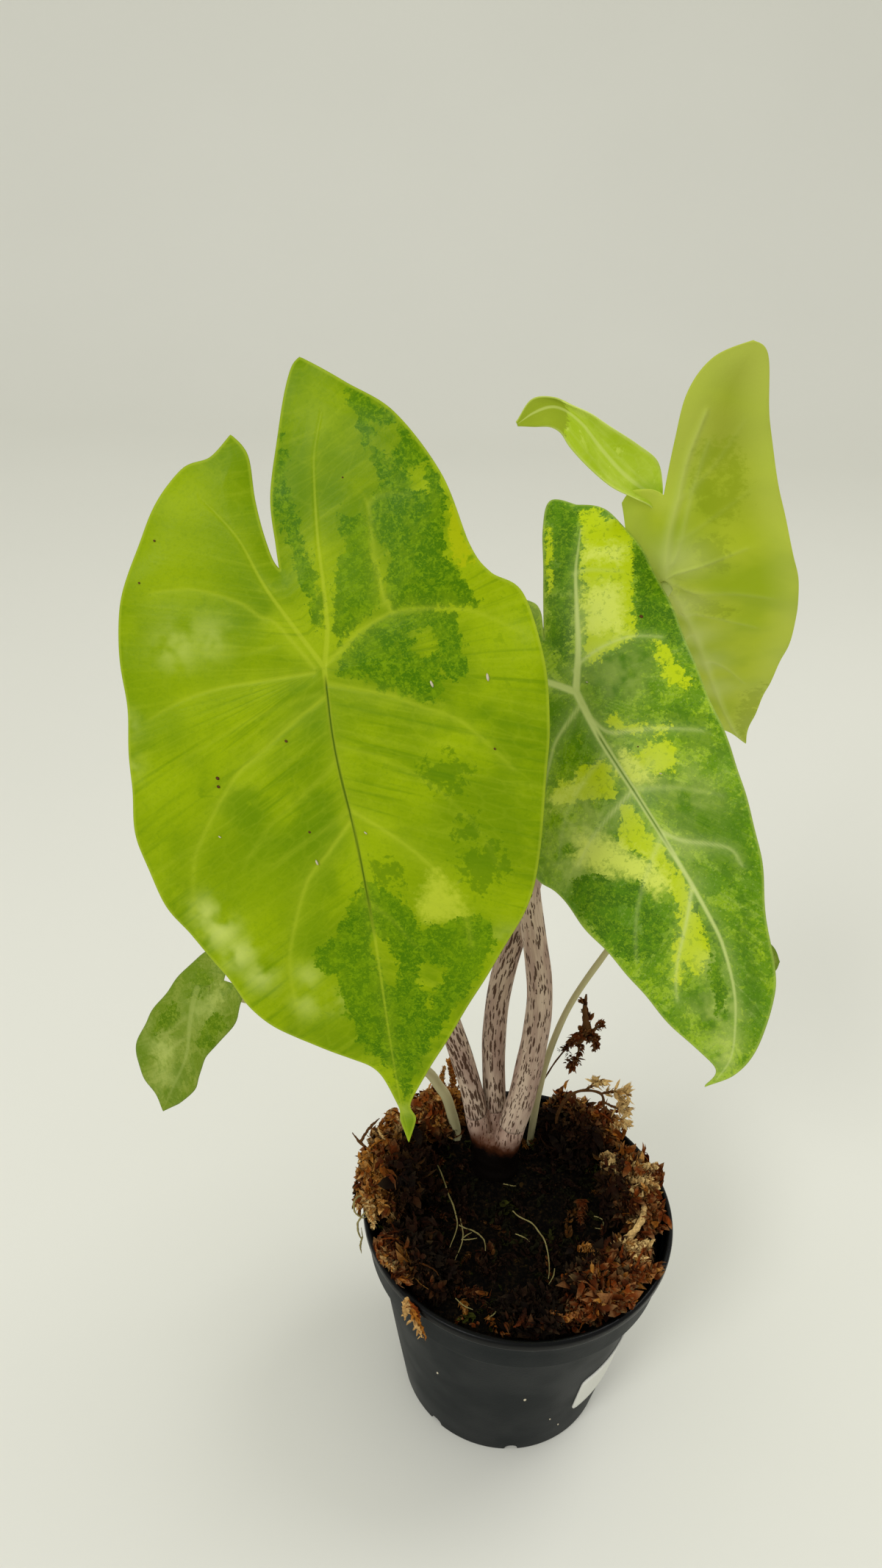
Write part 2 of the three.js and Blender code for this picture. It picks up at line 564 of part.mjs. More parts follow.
// Stem base: the short stout stem, with a sheath that leads into each thick stalk
function stemBase() {
  const { x, y, radius, neck, low, bend } = STEM;
  const middle = (radius + neck) / 2;
  const column = taperedTube(
    [[x, y, low], [x, y, 66], [x - 0.6, y, 76], [x - 1, y, bend]],
    [radius, radius, middle, neck], STEM.sides, 6,
  );
  const sheaths = [STALKS.front, STALKS.upper, STALKS.long].map(({ route, radii }) => {
    const [start, next] = [vec(...route[0]), vec(...route[1])];
    const back = start.clone().sub(next).normalize();
    const end = start.clone().addScaledVector(back, GAP);
    const knee = start.clone().addScaledVector(back, STEM.sheathLength);
    const root = vec(x, y, STEM.sheathLow).lerp(start.clone().setZ(STEM.sheathLow), STEM.sheathInset);
    const thick = [STEM.sheathRadius, radii[0] * 1.06, radii[0]];
    return taperedTube([root, knee, end].map((p) => p.toArray()), thick, STEM.sides - 2, 5);
  });
  return geometryOf(joined([column, ...sheaths].map(solidOf)));
}

// Loose bits: a branching moss sprig, a dry tuft on its thin stalk, and roots that lie on the soil
const TWIGS = {
  moss_sprig: {
    color: COLOURS.dry, sides: 5,
    routes: [
      [[13, 27, 71.5], [12.4, 26.5, 82], [15.5, 25.5, 91], [20, 25, 93.6], [24, 24, 93.4], [25.6, 23.5, 88]],
      [[19, 25, 93.2], [21.4, 24, 97], [23.8, 23, 100.4]],
      [[23.6, 24, 93.4], [28, 23, 95.6], [32.6, 22, 95.4]],
      [[25.2, 23.6, 90.4], [29, 22, 90], [32.6, 21, 91.6]],
      [[25.4, 23.5, 88.6], [29.4, 21.4, 86.6], [33.6, 20, 85.4]],
    ],
    radii: [[1, 0.9, 0.8, 0.7], [0.7, 1.2, 0.3], [0.7, 1.3, 0.3], [0.7, 1.1, 0.3], [0.7, 1.2, 0.3]],
  },
  dry_tuft: {
    color: COLOURS.dry, sides: 5,
    routes: [
      [[3, 34, 69], [4.8, 30.5, 82], [8.2, 27.6, 98], [12.4, 24, 112], [15.6, 22, 119]],
      [[14.6, 22, 114], [16.6, 22, 120.6], [15.4, 22, 127], [15.2, 22, 133.4]],
      [[15.2, 22, 117], [18.6, 21.4, 121], [21, 21, 124.6]],
      [[15.8, 22, 120], [12.6, 21, 117], [11.6, 20.6, 113]],
      [[16, 22, 119.6], [19.4, 23, 116.4], [20.4, 23, 112]],
      [[15.6, 22, 118], [14.8, 21, 111], [13.6, 21, 107.4]],
    ],
    radii: [
      [0.7, 0.6, 0.6, 0.8], [1.6, 3.4, 1.9, 0.7], [1.6, 1.4, 0.3], [1.5, 1.2, 0.3],
      [1.5, 1.3, 0.3], [1.4, 0.8, 0.3],
    ],
  },
};

function twigSolid({ routes, radii, sides }, grown = 0) {
  return joined(routes.map((route, i) => (
    solidOf(taperedTube(route, radii[i].map((r) => r + grown), sides, 2 * route.length))
  )));
}

// Moss: clumps of bent, pointed sprigs that stand out of a smaller matted core, round the rim
const CLUMPS = {
  moss_left: { at: [-37, 6, 73], size: [7, 17, 5.5], turn: 8, reach: 9.5, seed: 11, sector: [137, 196] },
  moss_front_left: { at: [-29, -21, 69], size: [6, 12, 4], turn: 38, reach: 8, seed: 12, sector: [197, 236] },
  moss_back_left: { at: [-25, 32, 71], size: [6, 8, 4.6], turn: -50, reach: 8, seed: 13, sector: [106, 136] },
  moss_back_right: { at: [18, 30, 70.5], size: [6, 12, 4], turn: 55, reach: 8.5, seed: 14, sector: [32, 79] },
  moss_right: { at: [33.5, 5, 71], size: [5, 14, 4], turn: 6, reach: 8, seed: 15, sector: [-15, 31] },
  moss_front_right: {
    at: [24.5, -24, 69], size: [8, 14, 4], turn: -45, reach: 7.5, seed: 16, sector: [-72, -16],
  },
  moss_front: { at: [4, -35.5, 68.5], size: [9, 4, 3], turn: -4, reach: 6.5, seed: 17, sector: [-112, -73] },
};
const SPRIG = {
  detail: 1, share: 0.88, lowest: -0.35, shortest: 0.55, longest: 1.15, lean: 2.2, droop: 0.8,
  inset: 0.42, waist: 0.5, narrow: 0.2,
};

// A convex core whose faces are each drawn out into one sprig, so that no two sprigs can cross
function clumpSolid({ at, size, turn, reach, seed }) {
  const random = draws(seed);
  const core = new THREE.IcosahedronGeometry(1, SPRIG.detail).attributes.position;
  const spin = new THREE.Matrix4().makeRotationZ(radians(turn));
  const points = [];
  const triangles = [];
  const put = (p) => points.push(p.clone().applyMatrix4(spin).add(vec(...at))) - 1;
  for (let i = 0; i < core.count; i += 3) {
    const corner = (k) => new THREE.Vector3().fromBufferAttribute(core, i + k).multiply(vec(...size));
    const face = new THREE.Triangle(corner(0), corner(1), corner(2));
    const corners = [face.a, face.b, face.c];
    const middle = face.getMidpoint(vec(0, 0, 0));
    const normal = face.getNormal(vec(0, 0, 0));
    const base = corners.map(put);
    const grows = random() < SPRIG.share && normal.z > SPRIG.lowest;
    const length = reach * THREE.MathUtils.lerp(SPRIG.shortest, SPRIG.longest, random());
    const lean = vec(random() - 0.5, random() - 0.5, random() - SPRIG.droop);
    lean.addScaledVector(normal, -lean.dot(normal)).multiplyScalar(SPRIG.lean);
    if (!grows) {
      triangles.push(...base);
      continue;
    }
    const root = corners.map((p) => p.clone().lerp(middle, SPRIG.inset));
    const waist = root.map((p) => p.clone().lerp(middle, SPRIG.narrow)
      .addScaledVector(normal, length * SPRIG.waist).addScaledVector(lean, SPRIG.narrow));
    const [low, high] = [root.map(put), waist.map(put)];
    const tip = put(middle.clone().addScaledVector(normal, length).add(lean));
    for (let j = 0; j < 3; j += 1) {
      const next = (j + 1) % 3;
      triangles.push(base[j], base[next], low[next], base[j], low[next], low[j]);
      triangles.push(low[j], low[next], high[next], low[j], high[next], high[j]);
      triangles.push(high[j], high[next], tip);
    }
  }
  return solidOf(meshFrom(points, triangles));
}

// The room that the pot's rim, the soil and the stalks take, grown by the gap, which the moss keeps clear of
function potRoom() {
  const outer = POT.rimRadius + GAP;
  const lipLow = POT.height - POT.lipHeight;
  const [low, inside] = [20, 60];
  const profile = [
    [0, low], [wallRadius(low) + GAP, low], [POT.bodyTopRadius + GAP, POT.collarLow - 1],
    [POT.collarRadius + GAP, POT.collarLow - GAP], [POT.collarRadius + POT.collarFlare + GAP, lipLow - GAP],
    [outer, lipLow - GAP], [outer, POT.height + GAP - 0.2], [POT.rimRadius - POT.bevel, POT.height + GAP],
    [POT.rimRadius - POT.lipWidth - 0.4, POT.height + GAP], [POT.collarRadius - 1.1, lipLow],
    [SOIL.radius - 0.1, inside], [0, inside],
  ];
  return solidOf(turned(profile, POT.segments));
}

function stemRoom() {
  const { x, y, radius } = STEM;
  const route = [[x, y, 60], [x, y, 76], [x - 1, y, 96]];
  const column = taperedTube(route, [radius + 0.9, radius + 0.9, radius + 1.5], 12, 3);
  const thin = [STALKS.small, STALKS.hidden].map((spec) => (
    taperedTube(spec.route, spec.radii.map((r) => r + GAP + 0.2), spec.sides, spec.steps)
  ));
  const loose = Object.values(TWIGS).map((spec) => twigSolid(spec, GAP + 0.1));
  return joined([...[column, ...thin].map(solidOf), ...loose]);
}

// A wedge of the pot's plan, so that neighbouring clumps stay apart
function sectorSolid([from, to]) {
  const [reach, height, steps] = [80, 120, 4];
  const shape = new THREE.Shape();
  shape.moveTo(0, 0);
  for (let i = 0; i <= steps; i += 1) {
    const turn = radians(THREE.MathUtils.lerp(from, to, i / steps));
    shape.lineTo(reach * Math.cos(turn), reach * Math.sin(turn));
  }
  return solidOf(new THREE.ExtrudeGeometry(shape, { depth: height, bevelEnabled: false }));
}

const keepClear = potRoom().add(solidOf(soilBody(GAP, SOIL.radius + GAP + 0.4))).add(stemRoom());

function clump(spec) {
  return geometryOf(largest(clumpSolid(spec).intersect(sectorSolid(spec.sector)).subtract(keepClear)));
}

// Roots that follow the soil's top in plan and lie just clear of it
const ROOTS = {
  root_left: { plan: [[-24, 14], [-20.5, 5], [-17.5, -6], [-19.5, -15]], radius: 0.5 },
  root_centre: { plan: [[-17, -6.5], [-13, -8], [-10, -12], [-9.5, -16]], radius: 0.45 },
  root_right: { plan: [[-1.5, -2], [4, -5], [7, -10], [8.5, -17], [8, -23]], radius: 0.45 },
};
const ROOT_LIFT = 0.9;

function surfaceRoot({ plan, radius }) {
  const level = (x, y) => soilTop(Math.hypot(x, y), Math.atan2(y, x)) + radius + ROOT_LIFT;
  const route = plan.map(([x, y]) => [x, y, level(x, y)]);
  const tube = taperedTube(route, [radius, radius, radius * 0.6], 5, 14);
  return geometryOf(largest(solidOf(tube).subtract(keepClear)));
}

// Assembly
const plant = new THREE.Group();
function add(name, geometry, color, roughness) {
  const mesh = new THREE.Mesh(geometry, finish(color, roughness));
  mesh.name = name;
  plant.add(mesh);
}

add('pot', pot(), COLOURS.pot, 0.45);
add('pot_label', label(), COLOURS.label, 0.6);
add('soil', soil(), COLOURS.soil, 0.95);
add('stem_base', stemBase(), COLOURS.stalk, 0.6);
add('stalk_front', stalk(STALKS.front), COLOURS.stalk, 0.5);
add('stalk_upper', stalk(STALKS.upper), COLOURS.stalk, 0.5);
add('stalk_long', stalk(STALKS.long), COLOURS.stalk, 0.5);
add('stalk_small', stalk(STALKS.small), COLOURS.paleStalk, 0.5);
add('stalk_hidden', stalk(STALKS.hidden), COLOURS.paleStalk, 0.5);
add('leaf_front', blade(FRONT), COLOURS.chartreuse, 0.35);
add('leaf_long', blade(LONG), COLOURS.green, 0.35);
add('leaf_upper', upperBlade(), COLOURS.olive, 0.5);
add('leaf_small', blade(SMALL), COLOURS.sage, 0.5);
add('leaf_hidden', blade(HIDDEN), COLOURS.sage, 0.5);
for (const [name, spec] of Object.entries(CLUMPS)) {
  add(name, clump(spec), name === 'moss_right' ? COLOURS.paleMoss : COLOURS.moss, 0.9);
}
for (const [name, spec] of Object.entries(TWIGS)) add(name, geometryOf(twigSolid(spec)), spec.color, 0.9);
for (const [name, spec] of Object.entries(ROOTS)) add(name, surfaceRoot(spec), COLOURS.root, 0.8);

export default plant;
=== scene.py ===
"""A young alocasia longiloba in its nursery pot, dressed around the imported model.

The plant's own sizes are in millimetres, as in the part's source, and meshes are made in metres.
"""

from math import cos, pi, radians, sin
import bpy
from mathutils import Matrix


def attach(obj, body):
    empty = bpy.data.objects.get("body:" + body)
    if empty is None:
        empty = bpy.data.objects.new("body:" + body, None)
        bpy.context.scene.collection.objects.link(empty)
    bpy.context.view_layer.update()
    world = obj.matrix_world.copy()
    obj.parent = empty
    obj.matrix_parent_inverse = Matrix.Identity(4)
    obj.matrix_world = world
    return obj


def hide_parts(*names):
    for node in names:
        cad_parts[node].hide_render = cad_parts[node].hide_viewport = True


bl_info = {
    "name": "Potted Alocasia",
    "version": (1, 0, 0),
    "blender": (4, 5, 0),
    "location": "View3D > Sidebar > Alocasia",
    "description": "Builds a marbled alocasia with its stalks, moss and nursery pot around the packed model",
    "category": "Object",
}

from types import SimpleNamespace as Spec

import bpy
import numpy as np
from bpy.props import FloatProperty, FloatVectorProperty, IntProperty, PointerProperty
from bpy.types import Operator, Panel, PropertyGroup
from mathutils import Matrix, Vector, noise
from mathutils.bvhtree import BVHTree

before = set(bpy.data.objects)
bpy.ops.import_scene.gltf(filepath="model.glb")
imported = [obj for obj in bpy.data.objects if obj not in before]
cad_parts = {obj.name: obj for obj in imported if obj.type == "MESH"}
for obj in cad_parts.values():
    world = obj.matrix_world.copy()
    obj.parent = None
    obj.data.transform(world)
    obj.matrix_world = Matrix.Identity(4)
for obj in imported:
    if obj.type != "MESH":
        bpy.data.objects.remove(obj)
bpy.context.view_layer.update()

MM = 0.001
BODY = "root"

# Photograph and camera, in millimetres and degrees
PHOTO = (1200, 2133)
CAMERA = Spec(at=(-28.65, -232.91, 351.61), pitch=30.777, roll=2.934, focal_px=1600, sensor=36)

# Pot, soil and stem, as in the part's source
POT = Spec(
    rim=45, height=72, base=31, wall=1.1, floor=1.4, collar_low=59, collar=43, flare=0.7, body_top=40.5,
    lip_height=3.2, lip_width=1.9, hub=12, foot=4.5, recess=1.2, bevel=0.8, drain_width=4, drain_height=2.8,
    drain_inner=21, drain_turn=0.1,
)
COLLAR_INSIDE = POT.collar - POT.wall - 0.2
LABEL = Spec(start=-56, stop=-12, low=17.5, high=35, rise=5, thick=0.3, corner=2.2)
SOIL = Spec(level=66.5, lump=1.3, crown=1.6, radius=COLLAR_INSIDE - 0.4, rings=70, segments=220)
STEM = Spec(x=-6, y=17, low=54, bend=84, radius=7.5, neck=5.4)
SHEATH = Spec(low=74, inset=0.35, radius=4.6, length=5)


def soft(t, w):
    return np.sqrt(t * t + w * w) - w


def swells(u, v, spots):
    return sum(h * np.exp(-((u - a) ** 2 + (v - b) ** 2) / (r * r)) for a, b, r, h in spots)


FRONT_SWELLS = [(-33, 60, 12, 2.2), (35, -7, 10, -2), (-4, 100, 9, -1.5)]
LONG_SWELLS = [(-24, 28, 9, 1.5), (-12, -12, 9, 4)]
SMALL_SWELLS = [(-8, 20, 6, 1), (8, 24, 6, -0.8)]
HIDDEN_SWELLS = [(-9, 12, 6, 0.8)]


def front_relief(u, v):
    fall = np.where(v > 0, 0.0016, 0.0012) * v * v
    return 0.10 * soft(u, 4) - 0.0016 * u * u - fall + swells(u, v, FRONT_SWELLS)


def long_relief(u, v):
    fall = np.where(v > 0, 0.0012, 0.002) * v * v
    return -np.where(u < 0, 0.004, 0.010) * u * u - fall + swells(u, v, LONG_SWELLS)


def upper_relief(u, v):
    return 0.17 * (soft(v, 14) + v) - 0.002 * u * u - np.where(v < 0, 0.001 * v * v, 0)


def small_relief(u, v):
    return -0.006 * u * u - 0.004 * v * v + swells(u, v, SMALL_SWELLS)


def hidden_relief(u, v):
    return -0.008 * u * u - 0.003 * v * v + swells(u, v, HIDDEN_SWELLS)


# Leaf blades. Outlines, veins and marks lie flat in (u, v): u to the right, v down to the drip tip.
FRONT = Spec(
    at=(-51, -38, 259), facing=(-0.1, -0.92, 0.37), down=(0.23, -0.38, -0.9), relief=front_relief,
    midrib=[(0, 0), (-1, 15), (-1, 36), (-2, 58), (-2.7, 78), (-4.3, 91.7), (-5.3, 100)],
    right_rib=[(0, 0), (3, -24), (6, -38), (7.4, -45), (5.6, -55)],
    left_rib=[(0, 0), (-7.7, -15.7), (-11.2, -25.7), (-14, -34), (-9.2, -44)],
    sinus=(-4.8, -18.7),
    right=[(5.6, -55), (12.7, -49.2), (20.8, -41.9), (27.3, -29.5), (30, -16.7), (32.7, -11.4),
        (37.7, -6.8), (39.6, 5.5), (38.6, 17), (36.5, 26), (32.2, 42.4), (28.1, 51.3), (20.2, 61.3),
        (11, 72.6), (2.3, 83.4), (-2.6, 90), (-2.6, 94.6), (-5.3, 100)],
    left=[(-9.2, -44), (-13.5, -40.7), (-19.3, -39.7), (-26, -33.1), (-32.4, -23.2), (-36.5, -13.9),
        (-38, 1), (-40.4, 14.8), (-41.9, 26.4), (-39.8, 38.5), (-36, 46.3), (-31, 54.6), (-27.9, 62.8),
        (-21, 71.1), (-11.9, 77.1), (-7, 82), (-5, 90), (-5.6, 94.6), (-5.3, 100)],
    right_inner=[(-4.8, -18.7), (-4.6, -23.3), (-3.8, -32.3), (-0.1, -44.3), (3.6, -53), (5.6, -55)],
    left_inner=[(-4.8, -18.7), (-6, -21.8), (-7, -31.9), (-6.8, -39.8), (-9.2, -44)],
    split=(7, 4, 13), crease=3, fine=15, columns=50, vein_widths=((0.6, 0.32), (0.42, 0.3)),
    # Share of the midrib's length that carries a painted shadow line in its groove; the same for each leaf.
    seam=(0.01, 0.54),
    # Soft spots of painted sheen: pale highlights on the blade; each leaf's own list is the same.
    haze=[(-32, 42, 3, 0.6), (-30, 46, 3.4, 0.7), (-27.5, 51, 3.2, 0.65), (-24.5, 56, 3, 0.55),
        (-15.6, 57.9, 2.6, 0.35), (-17.5, 64, 2.6, 0.35), (-11.9, 64.5, 2.4, 0.35), (-26, -8.5, 4, 0.4),
        (-20, -9, 4, 0.35), (-39, 4, 2.6, 0.35), (-39.5, 12, 2.4, 0.3), (24, 57, 3, 0.3), (-4, 90, 3, 0.3)],
    # Soft spots of painted light: warmer lit patches on the upper face, and painted shade on the underside;
    # the same for each leaf.
    sun=[(-20, -34, 9, 1), (-24, -24, 13, 0.9), (-27, -2, 14, 0.7), (-33, 22, 12, 0.5), (-20, 42, 12, 0.6),
        (-10, 60, 10, 0.5), (6, 40, 10, 0.6), (16, 46, 9, 0.8), (20, 60, 8, 0.7), (32, -2, 7, 0.4),
        (8, -45, 7, 0.6), (6, -16, 8, 0.7)],
    main_veins=[
        [(0, 0), (-1, 15), (-0.6, 35), (-1.2, 52), (-2.9, 72), (-4.3, 88), (-5, 98)],
        [(0, 0), (2, -7), (2.8, -15), (3.3, -23), (4.4, -32), (5.5, -38), (8, -44.6)],
        [(0, 0), (-7.7, -15.7), (-11.2, -25.7), (-16.7, -34.2)],
    ],
    side_veins=[
        [(-1.8, -0.3), (-7.2, -9.3), (-9.8, -11), (-13.3, -14.4), (-21.1, -18.2), (-28.8, -19)],
        [(-2, 0.6), (-11.3, 0.4), (-19.3, 0.2), (-27.1, 1.2), (-34.3, 3.7)],
        [(-1, 5.5), (-7, 8.5), (-13.9, 12.8), (-21, 17.5), (-29.7, 27.9), (-32.5, 33.2), (-34.5, 42)],
        [(-1, 29), (-6.5, 34.4), (-11.7, 39.4), (-17.5, 51.3), (-19.1, 58.3), (-19.4, 65.2)],
        [(0.5, -0.5), (4.7, -3.4), (9.2, -6), (14.4, -7.5), (19.7, -7.3), (25.2, -6.2), (29.6, -4.6),
         (36.3, 0.1)],
        [(0, 3), (5.8, 5.1), (11.6, 7.3), (17.3, 10.5), (22.2, 13.2), (25.9, 17.1), (30.7, 23.9)],
        [(-0.5, 27), (5.1, 31.8), (11.3, 38.4), (16.4, 47.1), (16.9, 56.9)],
        [(14.1, -7.8), (13.3, -11), (12.8, -18), (13.3, -24.7), (13.3, -28.1)],
    ],
    faint_veins=[
        [(-8.2, -5.4), (-14.2, -5.3), (-19, -5.9), (-22.8, -7.2)],
        [(-1.8, 4.6), (-8.3, 5.3), (-16.8, 7.3), (-23.9, 9.9), (-30, 12.3)],
        [(-1, 17), (-3.9, 19.5), (-10.2, 23.5), (-15.4, 26.7), (-20, 31), (-23, 34.8)],
        [(-1, 27), (-4.4, 29.1), (-11, 31.6), (-16.9, 35.2)],
        [(13.7, -27.1), (15.1, -28.2), (18.2, -28.2), (20.8, -27.3)],
        [(-1, 45), (3.3, 49.8), (5.6, 54.1), (6.9, 55.5)],
        [(-1, 14), (7, 18), (15, 24), (22, 33), (25, 42)],
    ],
    dark=[
        [(12.8, -48.7), (15.8, -46.6), (20.7, -41.9), (24.1, -36.1), (26.3, -30.6), (27.4, -25),
         (26.3, -18.8), (26.1, -13.8), (29.6, -9.2), (29.2, -6.4), (25.1, -6.2), (14.5, -7.8),
         (13.9, -12.6), (15.7, -16.5), (13.9, -21.2), (13.5, -26), (16.3, -30.9), (15.5, -34.5),
         (14.5, -38.9), (13.6, -44.2)],
        [(0.1, -44.1), (-0.1, -37.7), (-0.2, -32.5), (0.4, -28.1), (0.4, -22.9), (1.5, -19.2), (1.9, -14.9),
         (2, -10.4), (1.3, -7.1), (-0.4, -7.4), (-0.3, -13), (-1.7, -17.3), (-2.1, -22.2), (-2.8, -26.1),
         (-4, -28.9), (-3.4, -33.2), (-1.8, -38)],
        [(8.6, -28.2), (8.9, -25.6), (10.6, -25.3), (12.5, -25.7), (13, -23.1), (12.6, -18.8),
         (13.2, -14.9), (13.1, -10.1), (10.2, -8.1), (6.6, -6.1), (3.2, -3.2), (2.9, -6), (4.1, -12.2),
         (6.2, -18.3), (8, -22.3), (7.8, -25.8)],
        [(2.1, 0.5), (6, -3.1), (10.6, -6.3), (14.3, -6.9), (19.6, -6.8), (25, -5.8), (25.8, -2.6),
         (26.1, 0.9), (25.6, 3.8), (25.6, 6.4), (22.9, 6.3), (21.1, 4.2), (20.9, 7.3), (20.6, 9.4),
         (18.6, 10.3), (15.8, 9.1), (13.4, 7.3), (10.1, 5.8), (8.1, 4.7), (7.4, 3.2), (4.4, 2.7),
         (1.8, 1.8)],
        [(-2, 42.4), (-4.4, 44.3), (-6.3, 47.4), (-8.2, 50.5), (-11.6, 51.5), (-14, 54.7), (-13, 57.6),
         (-10.6, 58.8), (-10.3, 61.6), (-10.9, 66), (-9.3, 69.6), (-9.4, 73.3), (-7.7, 77), (-5.3, 79.4),
         (-4.1, 83.6), (-4.1, 88.7), (-2.2, 86.5), (0.2, 83.3), (2.8, 78.8), (5.3, 75.2), (9.6, 71.1),
         (12.7, 67.9), (15.7, 64.8), (18.5, 60.7), (21, 56.6), (21.9, 52.9), (20.7, 51.2), (17.6, 51.1),
         (15.2, 51.2), (11.8, 51.4), (8.6, 51.5), (6.9, 47.9), (5.7, 46.3), (5.2, 44.6), (3.7, 43.9),
         (1.9, 42.8), (0.4, 40.5), (-0.7, 40.3)],
    ],
    faint_dark=[
        [(14, 21), (20, 20), (23, 23), (20, 26), (15, 25)], [(19, 31), (22, 31), (22, 35), (19, 35)],
        [(18, 39), (25, 37), (27, 42), (22, 46), (18, 43)], [(1.5, 37), (6, 38), (6, 43), (2, 43)],
    ],
    islands=[
        [(17.3, -40.5), (20.3, -39.9), (20.6, -35.9), (18.7, -32.9), (17.2, -34.5), (16.4, -37.7)],
        [(21, -31.7), (24, -31.1), (24.3, -27.7), (22.5, -27.1)],
        [(16, -4), (19.9, -3.3), (21.5, 0), (19.8, 1.9), (16.9, 0.5)],
        [(-1.1, 51.7), (0.2, 52.9), (2, 55.8), (2.3, 60.2), (0.4, 63.5), (-1, 62.4), (-2.2, 59.8),
         (-2.1, 55.9)],
        [(6.2, 58.9), (8.4, 58.4), (9.4, 59.8), (11, 59.5), (11.5, 61.8), (9.3, 63.9), (7.2, 65.9),
         (6, 68.3), (6, 64.2), (5.7, 61.5)],
    ],
    gold=[
        [(28.1, -25.2), (29.4, -22.4), (29.9, -18.2), (30.4, -13.8), (28.6, -12.9), (26.4, -15.4),
         (26.2, -18.9), (27.3, -22.8)],
    ],
    cream=[
        [(11.8, 41.9), (14, 42.5), (16.2, 45.8), (17.4, 50.1), (15.2, 51.2), (11.2, 50.9), (8.9, 50.3),
         (8.3, 47.6), (10, 44.9)],
    ],
)

